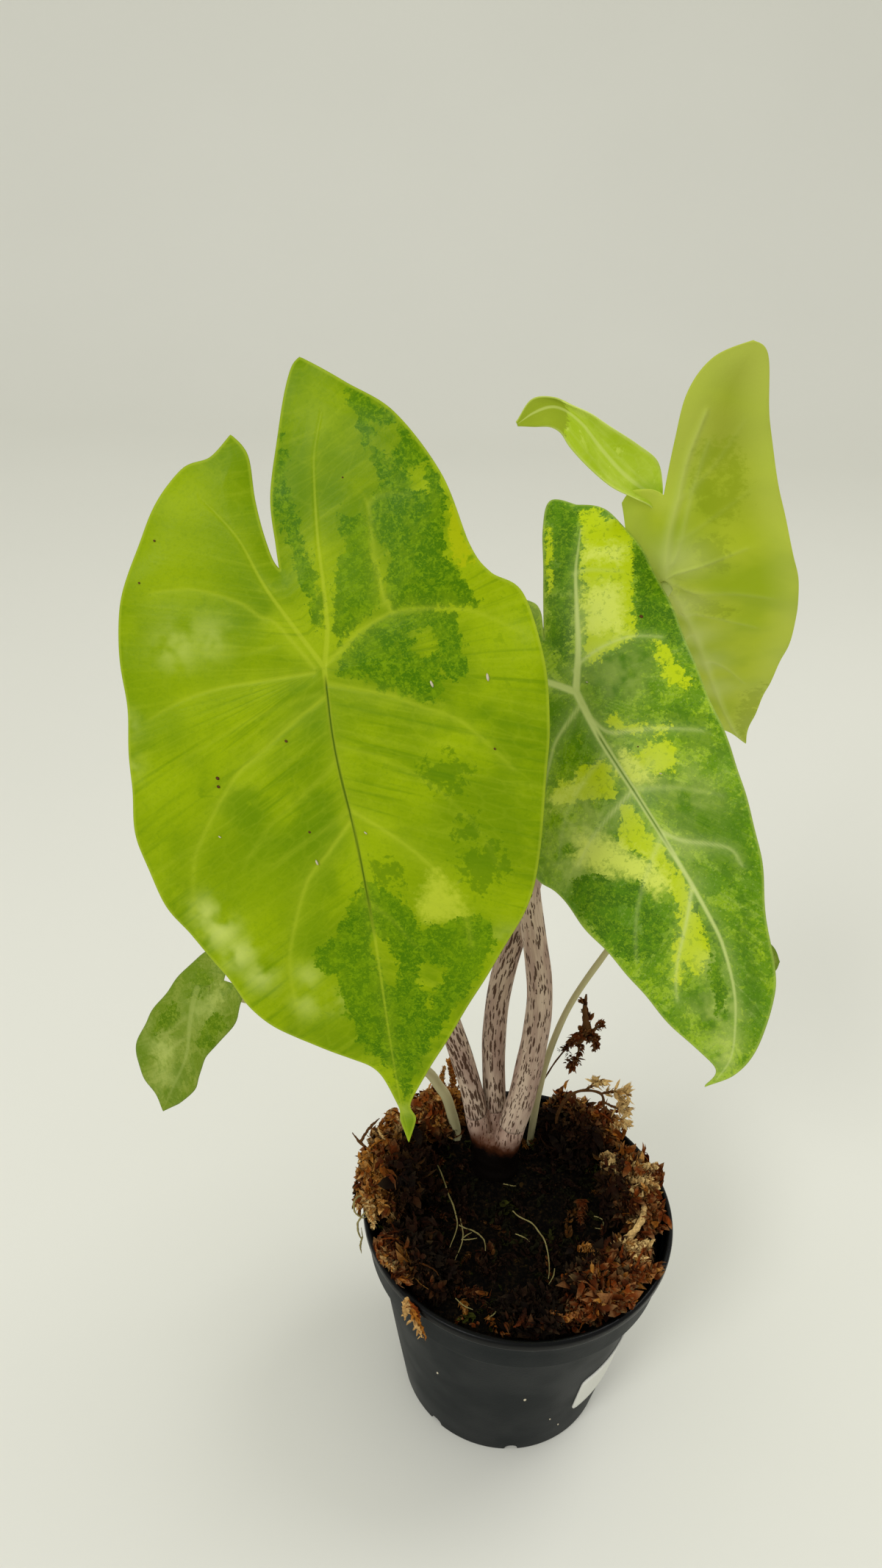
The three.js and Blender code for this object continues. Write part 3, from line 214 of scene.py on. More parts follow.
LONG = Spec(
    at=(-1, -8, 242), facing=(-0.3, -0.8, 0.52), down=(0.53, -0.59, -0.61), relief=long_relief,
    midrib=[(0, 0), (-0.7, 10), (-0.4, 30), (-0.5, 47), (-1.8, 61), (-7.7, 75), (-14.6, 83.4), (-21, 84.2)],
    right_rib=[(0, 0), (2.7, -4.5), (7.4, -11.8), (10.7, -18.9), (16.2, -27.7), (20.6, -37)],
    left_rib=[(0, 0), (-5, -6), (-12, -12), (-18, -19), (-20, -28)],
    sinus=(0, -13.6),
    right=[(20.6, -37), (25.5, -32.4), (27.1, -24.1), (27, -15.5), (25.6, -2.7), (23.2, 10.3), (21.4, 22.6),
        (19.7, 30.8), (14.6, 47.9), (8.3, 60.5), (4.7, 69.7), (1.2, 74.8), (-7, 82), (-14.2, 84.6),
        (-21, 84.2)],
    left=[(-20, -28), (-27, -22), (-30.5, -10), (-31.5, 4), (-30.5, 18), (-28.3, 29), (-25.9, 34),
        (-24.9, 43.1), (-22.6, 53.9), (-19.7, 70.8), (-16.6, 81.5), (-21, 84.2)],
    right_inner=[(0, -13.6), (7, -26.2), (11.9, -35.6), (16.3, -40.6), (20.6, -37)],
    left_inner=[(0, -13.6), (1.1, -16.2), (2.3, -19.4), (1.7, -22.2), (-3, -27), (-12, -31), (-20, -28)],
    split=(7, 4, 12), crease=3, fine=14, columns=46, vein_widths=((0.95, 0.42), (0.4, 0.3)),
    seam=(0.1, 0.45),
    haze=[(0, -22, 6, 0.35), (10, 2, 6, 0.35), (4, 22, 6, 0.35), (10, 30, 7, 0.3), (-14, 24, 7, 0.6),
        (-20, 30, 6, 0.5), (2, 40, 5, 0.25), (-10, 72, 5, 0.55), (-13, 79, 4, 0.55), (-6, 62, 4, 0.35),
        (10, -14, 7, 0.3), (-24, 44, 3, 0.3)],
    sun=[(0, -21, 7, 1), (-20, 20, 10, 0.5), (16, 12, 8, 0.5), (12, 20, 6, 0.4), (-8, 60, 6, 0.5),
        (-16, 72, 6, 0.6)],
    main_veins=[
        [(0, 0), (-0.7, 10), (-0.6, 19), (-0.4, 30), (-0.4, 40), (-0.5, 47), (-1, 56), (-1.8, 61),
         (-4.4, 69), (-7.9, 75.2), (-12.5, 81), (-18, 84)],
        [(0, 0), (5, -7.6), (8.9, -15), (12.8, -22.6), (16.1, -27.5), (18.5, -31)],
        [(0, 0), (-5, -6), (-12, -12), (-18, -19), (-20, -26)],
    ],
    side_veins=[
        [(2, -4), (4.8, -5.1), (9.3, -5.4), (13.8, -4.9), (17.6, -3.3), (21, -1)],
        [(0, 6.9), (1.4, 10.9), (5.6, 13.2), (11.2, 16), (17.9, 20.6)],
        [(0, 34.2), (2.6, 38), (9.6, 43.9), (10, 48.3)],
        [(-0.5, 2.8), (-8.5, 6.3), (-12.4, 9.6), (-20, 17)], [(-0.5, 23.9), (-11.8, 27.5), (-18.7, 31.5)],
        [(-0.5, 46.9), (-5.1, 52.3), (-11.7, 59.2), (-14.8, 63.6), (-15.8, 65.8)],
    ],
    faint_veins=[
        [(12.5, -22.5), (15.2, -21.9), (21.1, -17.9)], [(0, 14), (-8, 17), (-16, 22), (-22, 29)],
        [(0, 24), (7, 28), (14, 34)], [(-0.5, 35), (-7, 40), (-14, 47), (-19, 55)],
    ],
    dark=[
        [(15.1, -39.6), (19.9, -35.9), (16.7, -28.6), (11, -20.4), (6.6, -12.5), (2.3, -6.1), (0.9, -7),
         (1.4, -13.1), (6, -23.6), (11.3, -34.1)],
        [(26.7, -22.7), (27.8, -17.3), (26.4, -8.4), (24.7, -1.5), (24, 3.9), (21, -1), (18, -4.1),
         (20.4, -11.3)],
        [(-21.5, 33.5), (-17.8, 34.5), (-14.8, 38.5), (-9.2, 40.5), (-9.8, 47.5), (-9.8, 51), (-13, 55.2),
         (-16, 55.2), (-21, 53.2), (-22.8, 48), (-23.2, 41), (-24.2, 36.8)],
        [(-1.6, 48.2), (-0.4, 52.4), (-0.5, 57.6), (-4.2, 65), (-7.7, 71.9), (-10.8, 71.9), (-7.3, 65.1),
         (-3.8, 60.1), (-2.9, 54.5)],
    ],
    faint_dark=[
        [(3, 20), (8, 26), (14, 32), (16, 40), (12, 50), (6, 50), (3, 38), (1.5, 28)],
        [(-13, 64), (-8, 68), (-12, 76), (-15, 72)], [(12, 12), (20, 16), (19, 27), (13, 22)],
        [(2, -2), (8, -4), (15, -3), (18, 2), (12, 8), (5, 5)],
        [(8, 52), (4, 62), (0, 72), (-4, 76), (2, 60)],
    ],
    islands=[
        [(13, -37.5), (14.6, -35.6), (10.6, -27), (7.4, -21.5), (5.4, -22), (8.4, -29)],
        [(-16, 43), (-13, 45), (-14, 50), (-17, 48)], [(8, -19), (10, -21), (11, -18), (9, -16)],
    ],
    gold=[
        [(12, -36), (13.8, -35), (9.4, -26), (5.6, -19.6), (4.6, -21)],
        [(20.1, -35), (24.2, -32.6), (26.2, -28.5), (27, -24.6), (24.7, -19), (19, -8.8), (17.4, -4.4),
         (13.5, -4), (9.3, -3.6), (5.8, -4.2), (8.5, -11.2), (12.6, -19.4), (16.5, -27.3)],
        [(19.5, -1), (21.2, 1.8), (20.5, 6), (21.5, 10.2), (19.5, 11.5), (17.2, 9.5), (17.5, 5.2),
         (17.8, 1.8)],
        [(1.8, 8.2), (4.5, 9.2), (5.8, 12.2), (12.5, 16.8), (12, 17.5), (3.5, 12), (1.8, 10)],
        [(1.8, 16.8), (7.2, 17.8), (10.5, 18), (11, 23), (8.8, 24.8), (4.2, 22.8), (0.2, 21.5),
         (0.2, 18.5)],
        [(-7.2, 13.8), (-2.5, 16), (-2.2, 20.5), (-5.2, 23.5), (-9.2, 21), (-14.2, 18.8), (-16, 16.5),
         (-15.5, 14.8), (-13, 14.5), (-9.5, 15.2)],
        [(-3.8, 25), (-2.5, 28.2), (-2, 35), (-1.5, 42.8), (-1.2, 48), (-3.2, 50.5), (-5.2, 47.8),
         (-4.8, 43.2), (-5.5, 38.5), (-8.5, 33.8), (-8.8, 31.2)],
        [(-3.5, 47.5), (-2, 50), (-1.8, 53.2), (-2.5, 57.5), (-5.5, 61.2), (-9.5, 63), (-10.5, 60),
         (-13.5, 62), (-12.8, 58.8), (-8.8, 55.2), (-6.2, 50.5)],
    ],
    cream=[
        [(17.4, -26.7), (23.7, -23), (22.3, -20.4), (16, -24.1)],
        [(13.2, -18.9), (19.4, -15.1), (14.4, -6.2), (8.2, -10.1)],
        [(1.1, 15.5), (4, 19.8), (3.9, 24.1), (1, 22.8), (-0.1, 18.5)],
        [(-17.4, 16), (-9.5, 15.3), (-9.9, 18.1), (-15.6, 18.6)],
        [(-19, 29.5), (-15, 26.5), (-11.5, 28), (-8.5, 33), (-4.4, 39.5), (-4.2, 45), (-7.8, 44.4),
         (-11.5, 38.6), (-16, 34.6)],
    ],
)

UPPER = Spec(
    at=(20.5, 27, 256), facing=(0.12, 0.93, 0.35), down=(0.42, 0.25, -0.85), relief=upper_relief,
    midrib=[(0, 0), (-0.8, 21), (1, 45), (2.6, 67), (3, 84), (2, 93)],
    right_rib=[(0, 0), (1.4, -6), (2, -12), (2.4, -18), (2.6, -24)],
    left_rib=[(0, 0), (-3.9, -6), (-10.3, -24.1), (-18, -38), (-25, -48), (-32.4, -55.6)],
    sinus=(-6.4, -23),
    right=[(2.6, -24), (5, -13), (9, -3), (16, 10), (21, 26), (18, 48), (12, 66), (6, 82), (2, 93)],
    left=[(-32.4, -55.6), (-34.2, -51.5), (-31.4, -36.2), (-29.8, -19.1), (-28.9, 0.8), (-27.6, 14),
        (-22.3, 34.3), (-12.7, 56.5), (-5, 74), (0, 86), (2, 93)],
    right_inner=[(-6.4, -23), (-4, -26), (-0.5, -26.5), (2.6, -24)],
    left_inner=[(-6.4, -23), (-12.5, -36.6), (-18, -47.4), (-24.6, -53.6), (-32.4, -55.6)],
    split=(7, 4, 12), crease=3, fine=11, columns=34, vein_widths=((1.1, 0.5), (0.6, 0.4)), seam=(0, 0),
    sun=[(-31, -50, 14, 0.9), (-22, -38, 14, 0.8), (-24, -20, 12, 0.4)],
    haze=[(-4, -4, 7, 0.6), (-1, 12, 6, 0.55), (0, 26, 6, 0.5), (1, 40, 6, 0.45), (2, 56, 6, 0.4),
        (14, 12, 8, 0.4), (14, 34, 7, 0.3)],
    main_veins=[
        [(0, 0), (-0.8, 21), (1, 45), (2.6, 67), (3, 84), (2, 93)],
        [(0, 0), (-4.2, -11.9), (-8.7, -21.2), (-14, -32.2), (-20.2, -42)],
    ],
    side_veins=[
        [(-3, -4), (-6, -9), (-12, -22), (-19, -35)], [(0, 0), (-5, 8.1), (-13.7, 11.2), (-21.3, 15.4)],
        [(0, 38.4), (-3.6, 45), (-6, 55)], [(0, 14), (-7, 20), (-15, 27)], [(0, 0), (-9, -1), (-20, -4)],
        [(0, 6), (8, 10), (15, 20)], [(0, 24), (7, 32), (13, 44)],
    ],
    faint_veins=[[(-6, -10), (-14, -14), (-24, -20)], [(-10, -22), (-18, -28), (-27, -38)]],
    dark=[
        [(-11, 58), (-5, 74), (0, 86), (2, 94), (3, 86), (0, 74), (-5, 62)],
        [(-17.7, -35.1), (-23.3, -33.5), (-24, -24), (-19.3, -13), (-13.3, -14), (-13, -25)],
        [(-2.1, 2.7), (-6.2, 11), (-12, 18.6), (-9, 21), (-3, 14), (-0.8, 6)],
        [(-16, -8), (-10, -10), (-9, 0), (-14, 2)],
    ],
    faint_dark=[],
    islands=[[(-19, -30), (-17, -27), (-18, -21), (-20, -24)]],
    gold=[], cream=[],
)

SMALL = Spec(
    at=(-81, -8, 156), facing=(-0.3, -0.8, 0.52), down=(-0.6, -0.25, -0.75), relief=small_relief,
    midrib=[(-2, 2), (-3, 9), (1, 15), (4, 26), (8.5, 37.3)],
    right_rib=[(-2, 2), (1, 0.6), (4, -0.6), (6.4, -1.6)],
    left_rib=[(-2, 2), (-4, -1), (-6, -3.4), (-8.1, -5.5)], sinus=(-0.1, -1.6),
    right=[(6.4, -1.6), (9.1, 4.8), (8.9, 12), (9, 18.5), (11.4, 25.2), (10.7, 31.8), (8.5, 37.3)],
    left=[(-8.1, -5.5), (-9.9, 3), (-9.9, 13.5), (-8.9, 25.1), (-6.7, 31.7), (-1.7, 34.2), (3.8, 35.7),
        (8.5, 37.3)],
    right_inner=[(-0.1, -1.6), (3, -2.6), (6.4, -1.6)], left_inner=[(-0.1, -1.6), (-3, -5), (-8.1, -5.5)],
    split=(4, 2, 7), crease=1, fine=13, columns=24, vein_widths=((1, 0.5), (0.5, 0.35)), seam=(0, 0),
    haze=[(0, 8, 5, 0.5), (-2, 24, 4, 0.5), (4, 30, 4, 0.4), (-8, 24, 3, 0.4)],
    sun=[],
    main_veins=[[(-4, 5), (-1.4, 10.6), (1.1, 14.4), (4.9, 21.3), (8.1, 36.2)]],
    side_veins=[[(-1.6, 12.9), (-2.4, 17.1), (-2.9, 21.7)], [(2, 16), (0, 24), (1, 32)]],
    faint_veins=[[(-1, 11), (3, 10), (7, 12)], [(3, 20), (7, 22), (9, 27)]],
    dark=[
        [(-7, 2), (-3, 0.5), (-1.5, 6), (-4.5, 8)], [(4, 5), (8, 6), (8.5, 14), (5, 17), (3.5, 11)],
        [(-7, 12), (-3, 13), (-2.5, 19), (-6, 22)],
    ],
    faint_dark=[[(3, 22), (9, 24), (9.5, 33), (6, 33)]], islands=[], gold=[],
    cream=[
        [(-3.2, 23), (-0.7, 21.1), (2.4, 25), (2, 29), (-1, 28)],
        [(0, -0.5), (3, 2), (2.7, 7.5), (0, 4)],
    ],
)

HIDDEN = Spec(
    at=(25, 14, 165), facing=(0.15, -0.7, 0.7), down=(0.97, 0, -0.22), relief=hidden_relief,
    midrib=[(0, 0), (0.6, 14), (0.2, 28), (0, 42)], right_rib=[(0, 0), (2, -3.5), (3.6, -6.8), (3, -9)],
    left_rib=[(0, 0), (-2, -3.5), (-3.8, -6.4), (-4, -8)], sinus=(-0.4, -4),
    right=[(3, -9), (8, -6), (11, 3), (10, 15), (6.5, 27), (3.6, 38.4), (0, 42)],
    left=[(-4, -8), (-8, -5), (-10.5, 4), (-9.5, 16), (-6, 27), (-3.6, 39.4), (0, 42)],
    right_inner=[(-0.4, -4), (0.8, -7), (3, -9)], left_inner=[(-0.4, -4), (-1.6, -6.6), (-4, -8)],
    split=(4, 2, 7), crease=1, fine=12, columns=22, vein_widths=((0.9, 0.5), (0.5, 0.35)), seam=(0, 0),
    haze=[(-3, 10, 5, 0.3)], sun=[],
    main_veins=[[(0, 0), (0.6, 14), (0.2, 28), (0, 40)], [(0, 0), (3, -7)], [(0, 0), (-3.4, -6.4)]],
    side_veins=[
        [(0, 4), (5, 8), (8, 14)], [(0, 4), (-4, 8), (-8, 14)], [(0, 14), (4, 21), (5, 28)],
        [(0, 14), (-4, 21), (-5, 27)],
    ],
    faint_veins=[],
    dark=[[(2, 8), (8, 4), (9, 12), (4, 18)], [(-9, 4), (-3, 6), (-4, 14), (-8, 14)]],
    faint_dark=[], islands=[], gold=[], cream=[[(1, 22), (4, 25), (2, 31)]],
)

LOBE = Spec(
    rib=[(16, 21.5, 273), (14.6, 20.4, 276.6), (11, 19, 278.6), (6, 17, 282.5), (0.8, 16, 287.7),
        (-3.5, 15, 292.5), (-7.6, 14.6, 295.2), (-10.2, 14.4, 295.6), (-13.6, 14.4, 294.2),
        (-16.8, 14.2, 291.8)],
    upper=[(16.4, 20.4, 276), (15.7, 18.6, 279), (13.7, 17, 284.8), (8.8, 15, 288.6), (1.9, 13, 292.7),
        (-2.2, 12.4, 295.1), (-6.5, 12.6, 296.6), (-9.9, 13.2, 297.7), (-14.1, 14, 297), (-17, 14, 292.2)],
    lower=[(14.6, 20, 273.4), (13.2, 17.4, 275.2), (8.6, 15, 277.7), (4.1, 13.4, 280), (-1.4, 12.4, 284.2),
        (-5.7, 12.4, 288.2), (-7.8, 12.8, 290.8), (-9.9, 13.2, 291.7), (-13.3, 14, 291.4),
        (-16.6, 14, 291.4)],
    thick=0.6, steps=90, across=18,
)

# Stalk routes from the stem or the soil; each ends under its blade, at the given (u, v)
STALKS = {
    "front": Spec(
        leaf=FRONT, end=(0, 2), radii=[3.3, 3.2, 3, 2.8, 2.5, 2.2, 1.7],
        route=[(-13.4, 16.6, 91), (-15.4, 16, 101), (-18.7, 13, 115.4), (-22.2, 9, 129.6), (-34, -4, 172),
            (-45, -19, 218), (-49.6, -31, 248)],
        dashes=1.6,
    ),
    "upper": Spec(
        leaf=UPPER, end=(0, 2), radii=[3.3, 3.4, 3.3, 3.1, 2.8, 2.4, 2.1, 1.6],
        route=[(-7.6, 20.4, 90), (-8.6, 20.4, 100), (-9.8, 20.4, 120.6), (-9.2, 21, 136), (-5.7, 21.6, 158),
            (1.2, 21.5, 198.6), (11.2, 20.5, 234), (18, 22.5, 250)],
        dashes=1.35,
    ),
    "long": Spec(
        leaf=LONG, end=(0, 2), radii=[4, 3.9, 3.6, 3.3, 2.9, 2.5, 2.2, 1.7],
        route=[(-2.6, 13.6, 90), (-0.7, 13.4, 102), (1.1, 12, 128.7), (0.5, 11, 145.3), (-5, 10, 177.2),
            (-6.5, 7, 205), (-3.6, 0, 230)],
        dashes=1.15,
    ),
    "small": Spec(
        leaf=SMALL, end=(-2, 4), radii=[1.6, 1.6, 1.5, 1.4, 1.2, 1.1, 0.9],
        route=[(-18.1, 27, 57), (-18.1, 27, 69), (-20.6, 25.4, 82), (-22.5, 24, 89.5), (-24.9, 23, 94.6),
            (-27.7, 21, 101.2), (-38, 13, 116), (-56, 3, 136), (-75, -5.5, 149.5)],
        dashes=0,
    ),
    "hidden": Spec(
        leaf=HIDDEN, end=(0, 1.5), radii=[1.1, 1.1, 1, 1, 0.9, 0.9, 0.8],
        route=[(5.2, 28.6, 57), (5.2, 28.6, 70), (5.8, 27, 90), (7.2, 24, 109.7), (10.6, 20, 130.7),
            (16.2, 17, 148.6), (20.5, 15.6, 158.5)],
        dashes=0,
    ),
}

TWIGS = {
    "moss_sprig": Spec(
        routes=[
            [(13, 27, 71.5), (12.4, 26.5, 82), (15.5, 25.5, 91), (20, 25, 93.6), (24, 24, 93.4),
             (25.6, 23.5, 88)],
            [(19, 25, 93.2), (21.4, 24, 97), (23.8, 23, 100.4)],
            [(23.6, 24, 93.4), (28, 23, 95.6), (32.6, 22, 95.4)],
            [(25.2, 23.6, 90.4), (29, 22, 90), (32.6, 21, 91.6)],
            [(25.4, 23.5, 88.6), (29.4, 21.4, 86.6), (33.6, 20, 85.4)],
        ],
        radii=[[1, 0.9, 0.8, 0.7], [0.6, 0.9, 0.2], [0.6, 0.9, 0.2], [0.6, 0.8, 0.2], [0.6, 0.9, 0.2]],
        girth=0.55, heads=(1, 2, 3, 4), bunches=6, tone=0.98, buried=0, flakes=(2.2, 4), count=11,
        breadth=(0.28, 0.5),
    ),
    "dry_tuft": Spec(
        routes=[
            [(3, 34, 69), (4.8, 30.5, 82), (8.2, 27.6, 98), (12.4, 24, 112), (15.6, 22, 119)],
            [(14.6, 22, 114), (16.6, 22, 120.6), (15.4, 22, 127), (15.2, 22, 133.4)],
            [(15.2, 22, 117), (18.6, 21.4, 121), (21, 21, 124.6)],
            [(15.8, 22, 120), (12.6, 21, 117), (11.6, 20.6, 113)],
            [(16, 22, 119.6), (19.4, 23, 116.4), (20.4, 23, 112)],
            [(15.6, 22, 118), (14.8, 21, 111), (13.6, 21, 107.4)],
        ],
        radii=[
            [0.55, 0.5, 0.5, 0.6], [1.2, 2.4, 1.5, 0.6], [1.2, 1, 0.2], [1.1, 0.8, 0.2], [1.1, 0.9, 0.2],
            [1, 0.6, 0.2],
        ],
        girth=0.5, heads=(1, 2, 3, 4, 5), bunches=8, tone=0.3, buried=0.3, flakes=(1.2, 2.4), count=14,
        breadth=(0.35, 0.7),
    ),
}
ROOTS = {
    "root_left": Spec(plan=[(-24, 14), (-20.5, 5), (-17.5, -6), (-19.5, -15)], radius=0.5),
    "root_centre": Spec(plan=[(-17, -6.5), (-13, -8), (-10, -12), (-9.5, -16)], radius=0.45),
    "root_right": Spec(plan=[(-1.5, -2), (4, -5), (7, -10), (8.5, -17), (8, -23)], radius=0.45),
}
ROOT_LIFT = 1.7
FIELD_REACH = 6.0
CLUMPS = {
    "moss_left": Spec(
        at=(-37, 6, 73), tone=0.6, strands=330, ribbons=70, seed=11, lit_from=43.5, spill=48.5,
    ),
    "moss_front_left": Spec(
        at=(-29, -21, 69), tone=0.4, strands=230, ribbons=60, seed=12, lit_from=45, spill=46,
    ),
    "moss_back_left": Spec(
        at=(-25, 32, 71), tone=0.5, strands=230, ribbons=60, seed=13, lit_from=38, spill=48,
    ),
    "moss_back_right": Spec(
        at=(18, 30, 70.5), tone=0.42, strands=230, ribbons=50, seed=14, lit_from=41, spill=48,
    ),
    "moss_right": Spec(
        at=(33.5, 5, 71), tone=0.46, strands=280, ribbons=60, seed=15, lit_from=36, spill=46.5,
    ),
    "moss_front_right": Spec(
        at=(24.5, -24, 69), tone=0.3, strands=300, ribbons=70, seed=16, lit_from=36, spill=46,
    ),
    "moss_front": Spec(
        at=(4, -35.5, 68.5), tone=0.26, strands=140, ribbons=30, seed=17, lit_from=47, spill=45,
    ),
}

# How the strands and ribbons of the clumps and of the loose moss are made
STRAND = Spec(length=(4, 11), leaflets=3, bold_share=0.16, bold_size=1.7, bold_leaflets=1.8)
RIBBON = Spec(length=(6, 14), girth=(0.45, 0.85))
LOOSE_MOSS = Spec(strands=210, reach=40, length=(4, 13), leaflet=(1.2, 2.4), leaflets=(16, 40),
                  green_share=0.3)

# Hair roots in plan over the peat; the curls and twigs are free in space outside the rim
HAIR_ROOTS = [
    [(-16.3, -11.9), (-14.1, -11.5), (-11.8, -11.2)], [(-16, -11.4), (-14.5, -9.6), (-13.3, -8.8)],
    [(-16.6, -4), (-15.8, -9), (-16.3, -14), (-18, -18.8)], [(-0.9, -9.9), (1.7, -11.3), (3, -12.4)],
    [(22.2, -2.1), (24.8, -3.3), (24.2, -5.7), (22.3, -5.8)], [(-4, 7.4), (-1.9, 8), (-0.1, 8.8)],
    [(-17.6, -30.5), (-15.4, -32.8), (-12.9, -33.9)], [(-8.6, -36), (-7, -34.6), (-6.4, -33)],
    [(10, -19), (9.4, -22), (8, -24.6)],
]
RIM_CURLS = [
    [(-43.1, -6.4, 79.5), (-46.2, -7.2, 80), (-47.2, -8.9, 79), (-46.5, -10.4, 77), (-44.3, -11.1, 76),
     (-42.7, -10.7, 77)],
    [(-43.5, -10.2, 78), (-45.8, -11.6, 74), (-44.7, -13.2, 70), (-44.3, -13.2, 70), (-44.8, -11.2, 72)],
    [(-44.4, -12.8, 70), (-44.8, -13.6, 67), (-44.4, -14, 64.5)],
]
LEFT_TWIGS = [
    [(-42, 9, 77), (-44.4, 9.8, 80), (-47.3, 11, 82), (-49.6, 12.6, 84)],
    [(-47, 11, 82), (-44.8, 14.4, 84), (-41.9, 17.8, 85)],
]

# Leafy moss fronds: tone, girth, shade and route. The flakes over the rim have no shade.
FRONDS = [
    (1, 2.6, 0, [(25.9, 17, 75.5), (29.5, 10.3, 77), (32.6, 3.3, 77.6), (36, -0.8, 77.2)]),
    (1, 2.2, 0, [(31, 9.4, 77), (35.7, 10.3, 77.6), (40.6, 11.6, 77)]),
    (1, 2.2, 0, [(33.6, 4.7, 77), (37.5, 5.5, 77.6), (40.6, 4.7, 76.6)]),
    (0.95, 2, 0, [(28.7, -13.6, 75.5), (32.8, -16.4, 76.2), (36.6, -14.4, 76)]),
    (0.9, 1.9, 0, [(30, -15.3, 75.5), (31.8, -19.5, 75.8), (34.5, -20.1, 76)]),
    (0.65, 2, 0.1, [(16.4, -14.3, 71.5), (21.4, -15.6, 73), (26.9, -18.6, 74)]),
    (0.55, 2.2, 0.1, [(11.5, -22.7, 71), (15.6, -26.2, 72), (20.7, -24.1, 73.4), (25.8, -22.9, 74.4)]),
    (0.5, 2, 0.05, [(6.4, -34, 71.5), (9.6, -37.4, 72.6), (13.9, -36.3, 73)]),
    (0.35, 1.6, 0.4, [(19.5, 4.1, 70), (18.1, -3.5, 70)]),
    (0.65, 2, 0.15, [(10.9, 39, 73.5), (16.5, 35.9, 74.5), (21.1, 31.4, 75), (27.3, 27.6, 75.5)]),
    (0.6, 1.8, 0.2, [(12.9, 29.4, 72.5), (19.8, 23.6, 74), (26.3, 24.2, 75)]),
    (0.95, 1.7, 0, [(29, 27.7, 75.6), (32.2, 28.1, 76.6), (35.3, 27.9, 77.4)]),
    (0.68, 2.6, 0, [(-42.4, 11.7, 77.6), (-41, 5, 79), (-40.6, -0.7, 79), (-39.4, -9, 78)]),
    (0.92, 1.7, 0, [(-43.9, -4.9, 78), (-42.6, -9.3, 78), (-41.2, -13.4, 76)]),
    (0.5, 2, 0.25, [(-38.5, -17.3, 74.6), (-33.8, -22.2, 75), (-28.6, -24.5, 74)]),
    (0.85, 1.4, 0, [(-38.4, -20.8, 75), (-36.4, -24.9, 75), (-35, -26.4, 75)]),
    (0.68, 2.3, 0, [(-31.3, 33.7, 76), (-26.2, 30.6, 77.4), (-22.7, 26.2, 76.4)]),
    (0.6, 1.6, 0.1, [(-20, 36, 74), (-20, 41.4, 78.5), (-21.4, 43.5, 85)]),
    (0.75, 1.3, 0, [(-21, 36, 74), (-23.5, 41, 79), (-23, 42.4, 83)]),
    (1, 1.3, 0, [(-40.4, 24.4, 79), (-37.4, 23.5, 81), (-35.9, 21.9, 79)]),
]
PALE_STEM = [(35.7, -1.6, 77.4), (35.3, -5.6, 78), (33.9, -9.2, 77.4), (30.2, -13, 76.2), (25.4, -14, 74.4)]
RIM_FLAKES = [
    (0.85, 1.2, [(-30.6, -34.5, 74.6), (-30.7, -35.6, 71.5), (-31.1, -36.3, 68.5)]),
    (0.6, 1.4, [(-30.3, -35, 74), (-28.7, -36, 70), (-26.7, -37.1, 66), (-25, -38.3, 63)]),
    (0.4, 1.3, [(-29.9, -35.4, 74), (-28.4, -35.8, 71.5), (-26.9, -36.9, 69)]),
    (0.85, 1, [(-29, -36.6, 68.5), (-27.1, -37.5, 65.5), (-26.2, -38.2, 63)]),
]

# Specks and crumbs: leaf, u, v and size; on the pot's wall degrees, height and size
SPECKS = [
    (FRONT, -23.7, 16.6, 0.4), (FRONT, -23.9, 18.2, 0.35), (FRONT, -9.6, 12, 0.32),
    (FRONT, -8.9, 29.6, 0.32), (FRONT, 28.2, 19.8, 0.25), (FRONT, -26.4, -28, 0.25),
    (FRONT, -30.7, -21.1, 0.25), (FRONT, 9.8, -32.5, 0.25), (LONG, 19.5, -7, 0.5), (LONG, 5, 16.8, 0.2),
]
CRUMBS = [
    (FRONT, -25.8, 27.6, 0.35), (FRONT, 1.5, 31.5, 0.4), (FRONT, -8.8, 35.6, 0.6), (FRONT, 29.2, 6.9, 0.8),
    (FRONT, 19.1, 6.3, 0.7), (LONG, 3, -0.5, 0.3), (LONG, 6, 24, 0.35),
]
POT_CRUMBS = [(-125, 35, 0.5), (-84, 34.5, 0.6), (-68, 17.5, 0.4), (-61, 10.5, 0.4)]

# Blades: leaf, finish of the upper face and slot
LEAVES = (("front", FRONT, "leaf_front", "leaf"), ("long", LONG, "leaf_long", "leaf"),
          ("upper", UPPER, "leaf_lime", "leaf_underside"), ("small", SMALL, "leaf_small", "leaf_pale"),
          ("hidden", HIDDEN, "leaf_small", "leaf_pale"))

# Studio: the floor's section, and the softboxes
FLOOR = Spec(near=-1600, back=1100, turn=700, top=2600, half=2600)
FRONT_BOX = Spec(at=(-700, -950, 1100), target=(0, 0, 180), size=480)
TOP_BOX = Spec(at=(480, 260, 1000), target=(0, 0, 80), size=500)


# Curves

def polyline_at(points, places):
    """Points at the given shares of a dense line's length."""
    steps = np.linalg.norm(np.diff(points, axis=0), axis=1)
    along = np.concatenate([[0], np.cumsum(steps)]) / steps.sum()
    return np.stack([np.interp(places, along, points[:, k]) for k in range(points.shape[1])], axis=1)


def catmull_rom(q, per_span, power):
    """A dense line on the curve through q's inner points: power 0 is even, 0.5 centripetal."""
    t = np.linspace(0, 1, per_span, endpoint=False)[:, None]
    spans = []
    for a, b, c, d in zip(q[:-3], q[1:-2], q[2:-1], q[3:]):
        e, f, g = (np.linalg.norm(y - x) ** power for x, y in ((a, b), (b, c), (c, d)))
        m = ((b - a) / e - (c - a) / (e + f) + (c - b) / f) * f
        n = ((c - b) / f - (d - b) / (f + g) + (d - c) / g) * f
        spans.append((2 * b - 2 * c + m + n) * t ** 3 + (3 * c - 3 * b - 2 * m - n) * t ** 2 + m * t + b)
    return np.vstack(spans + [q[-2:-1]])


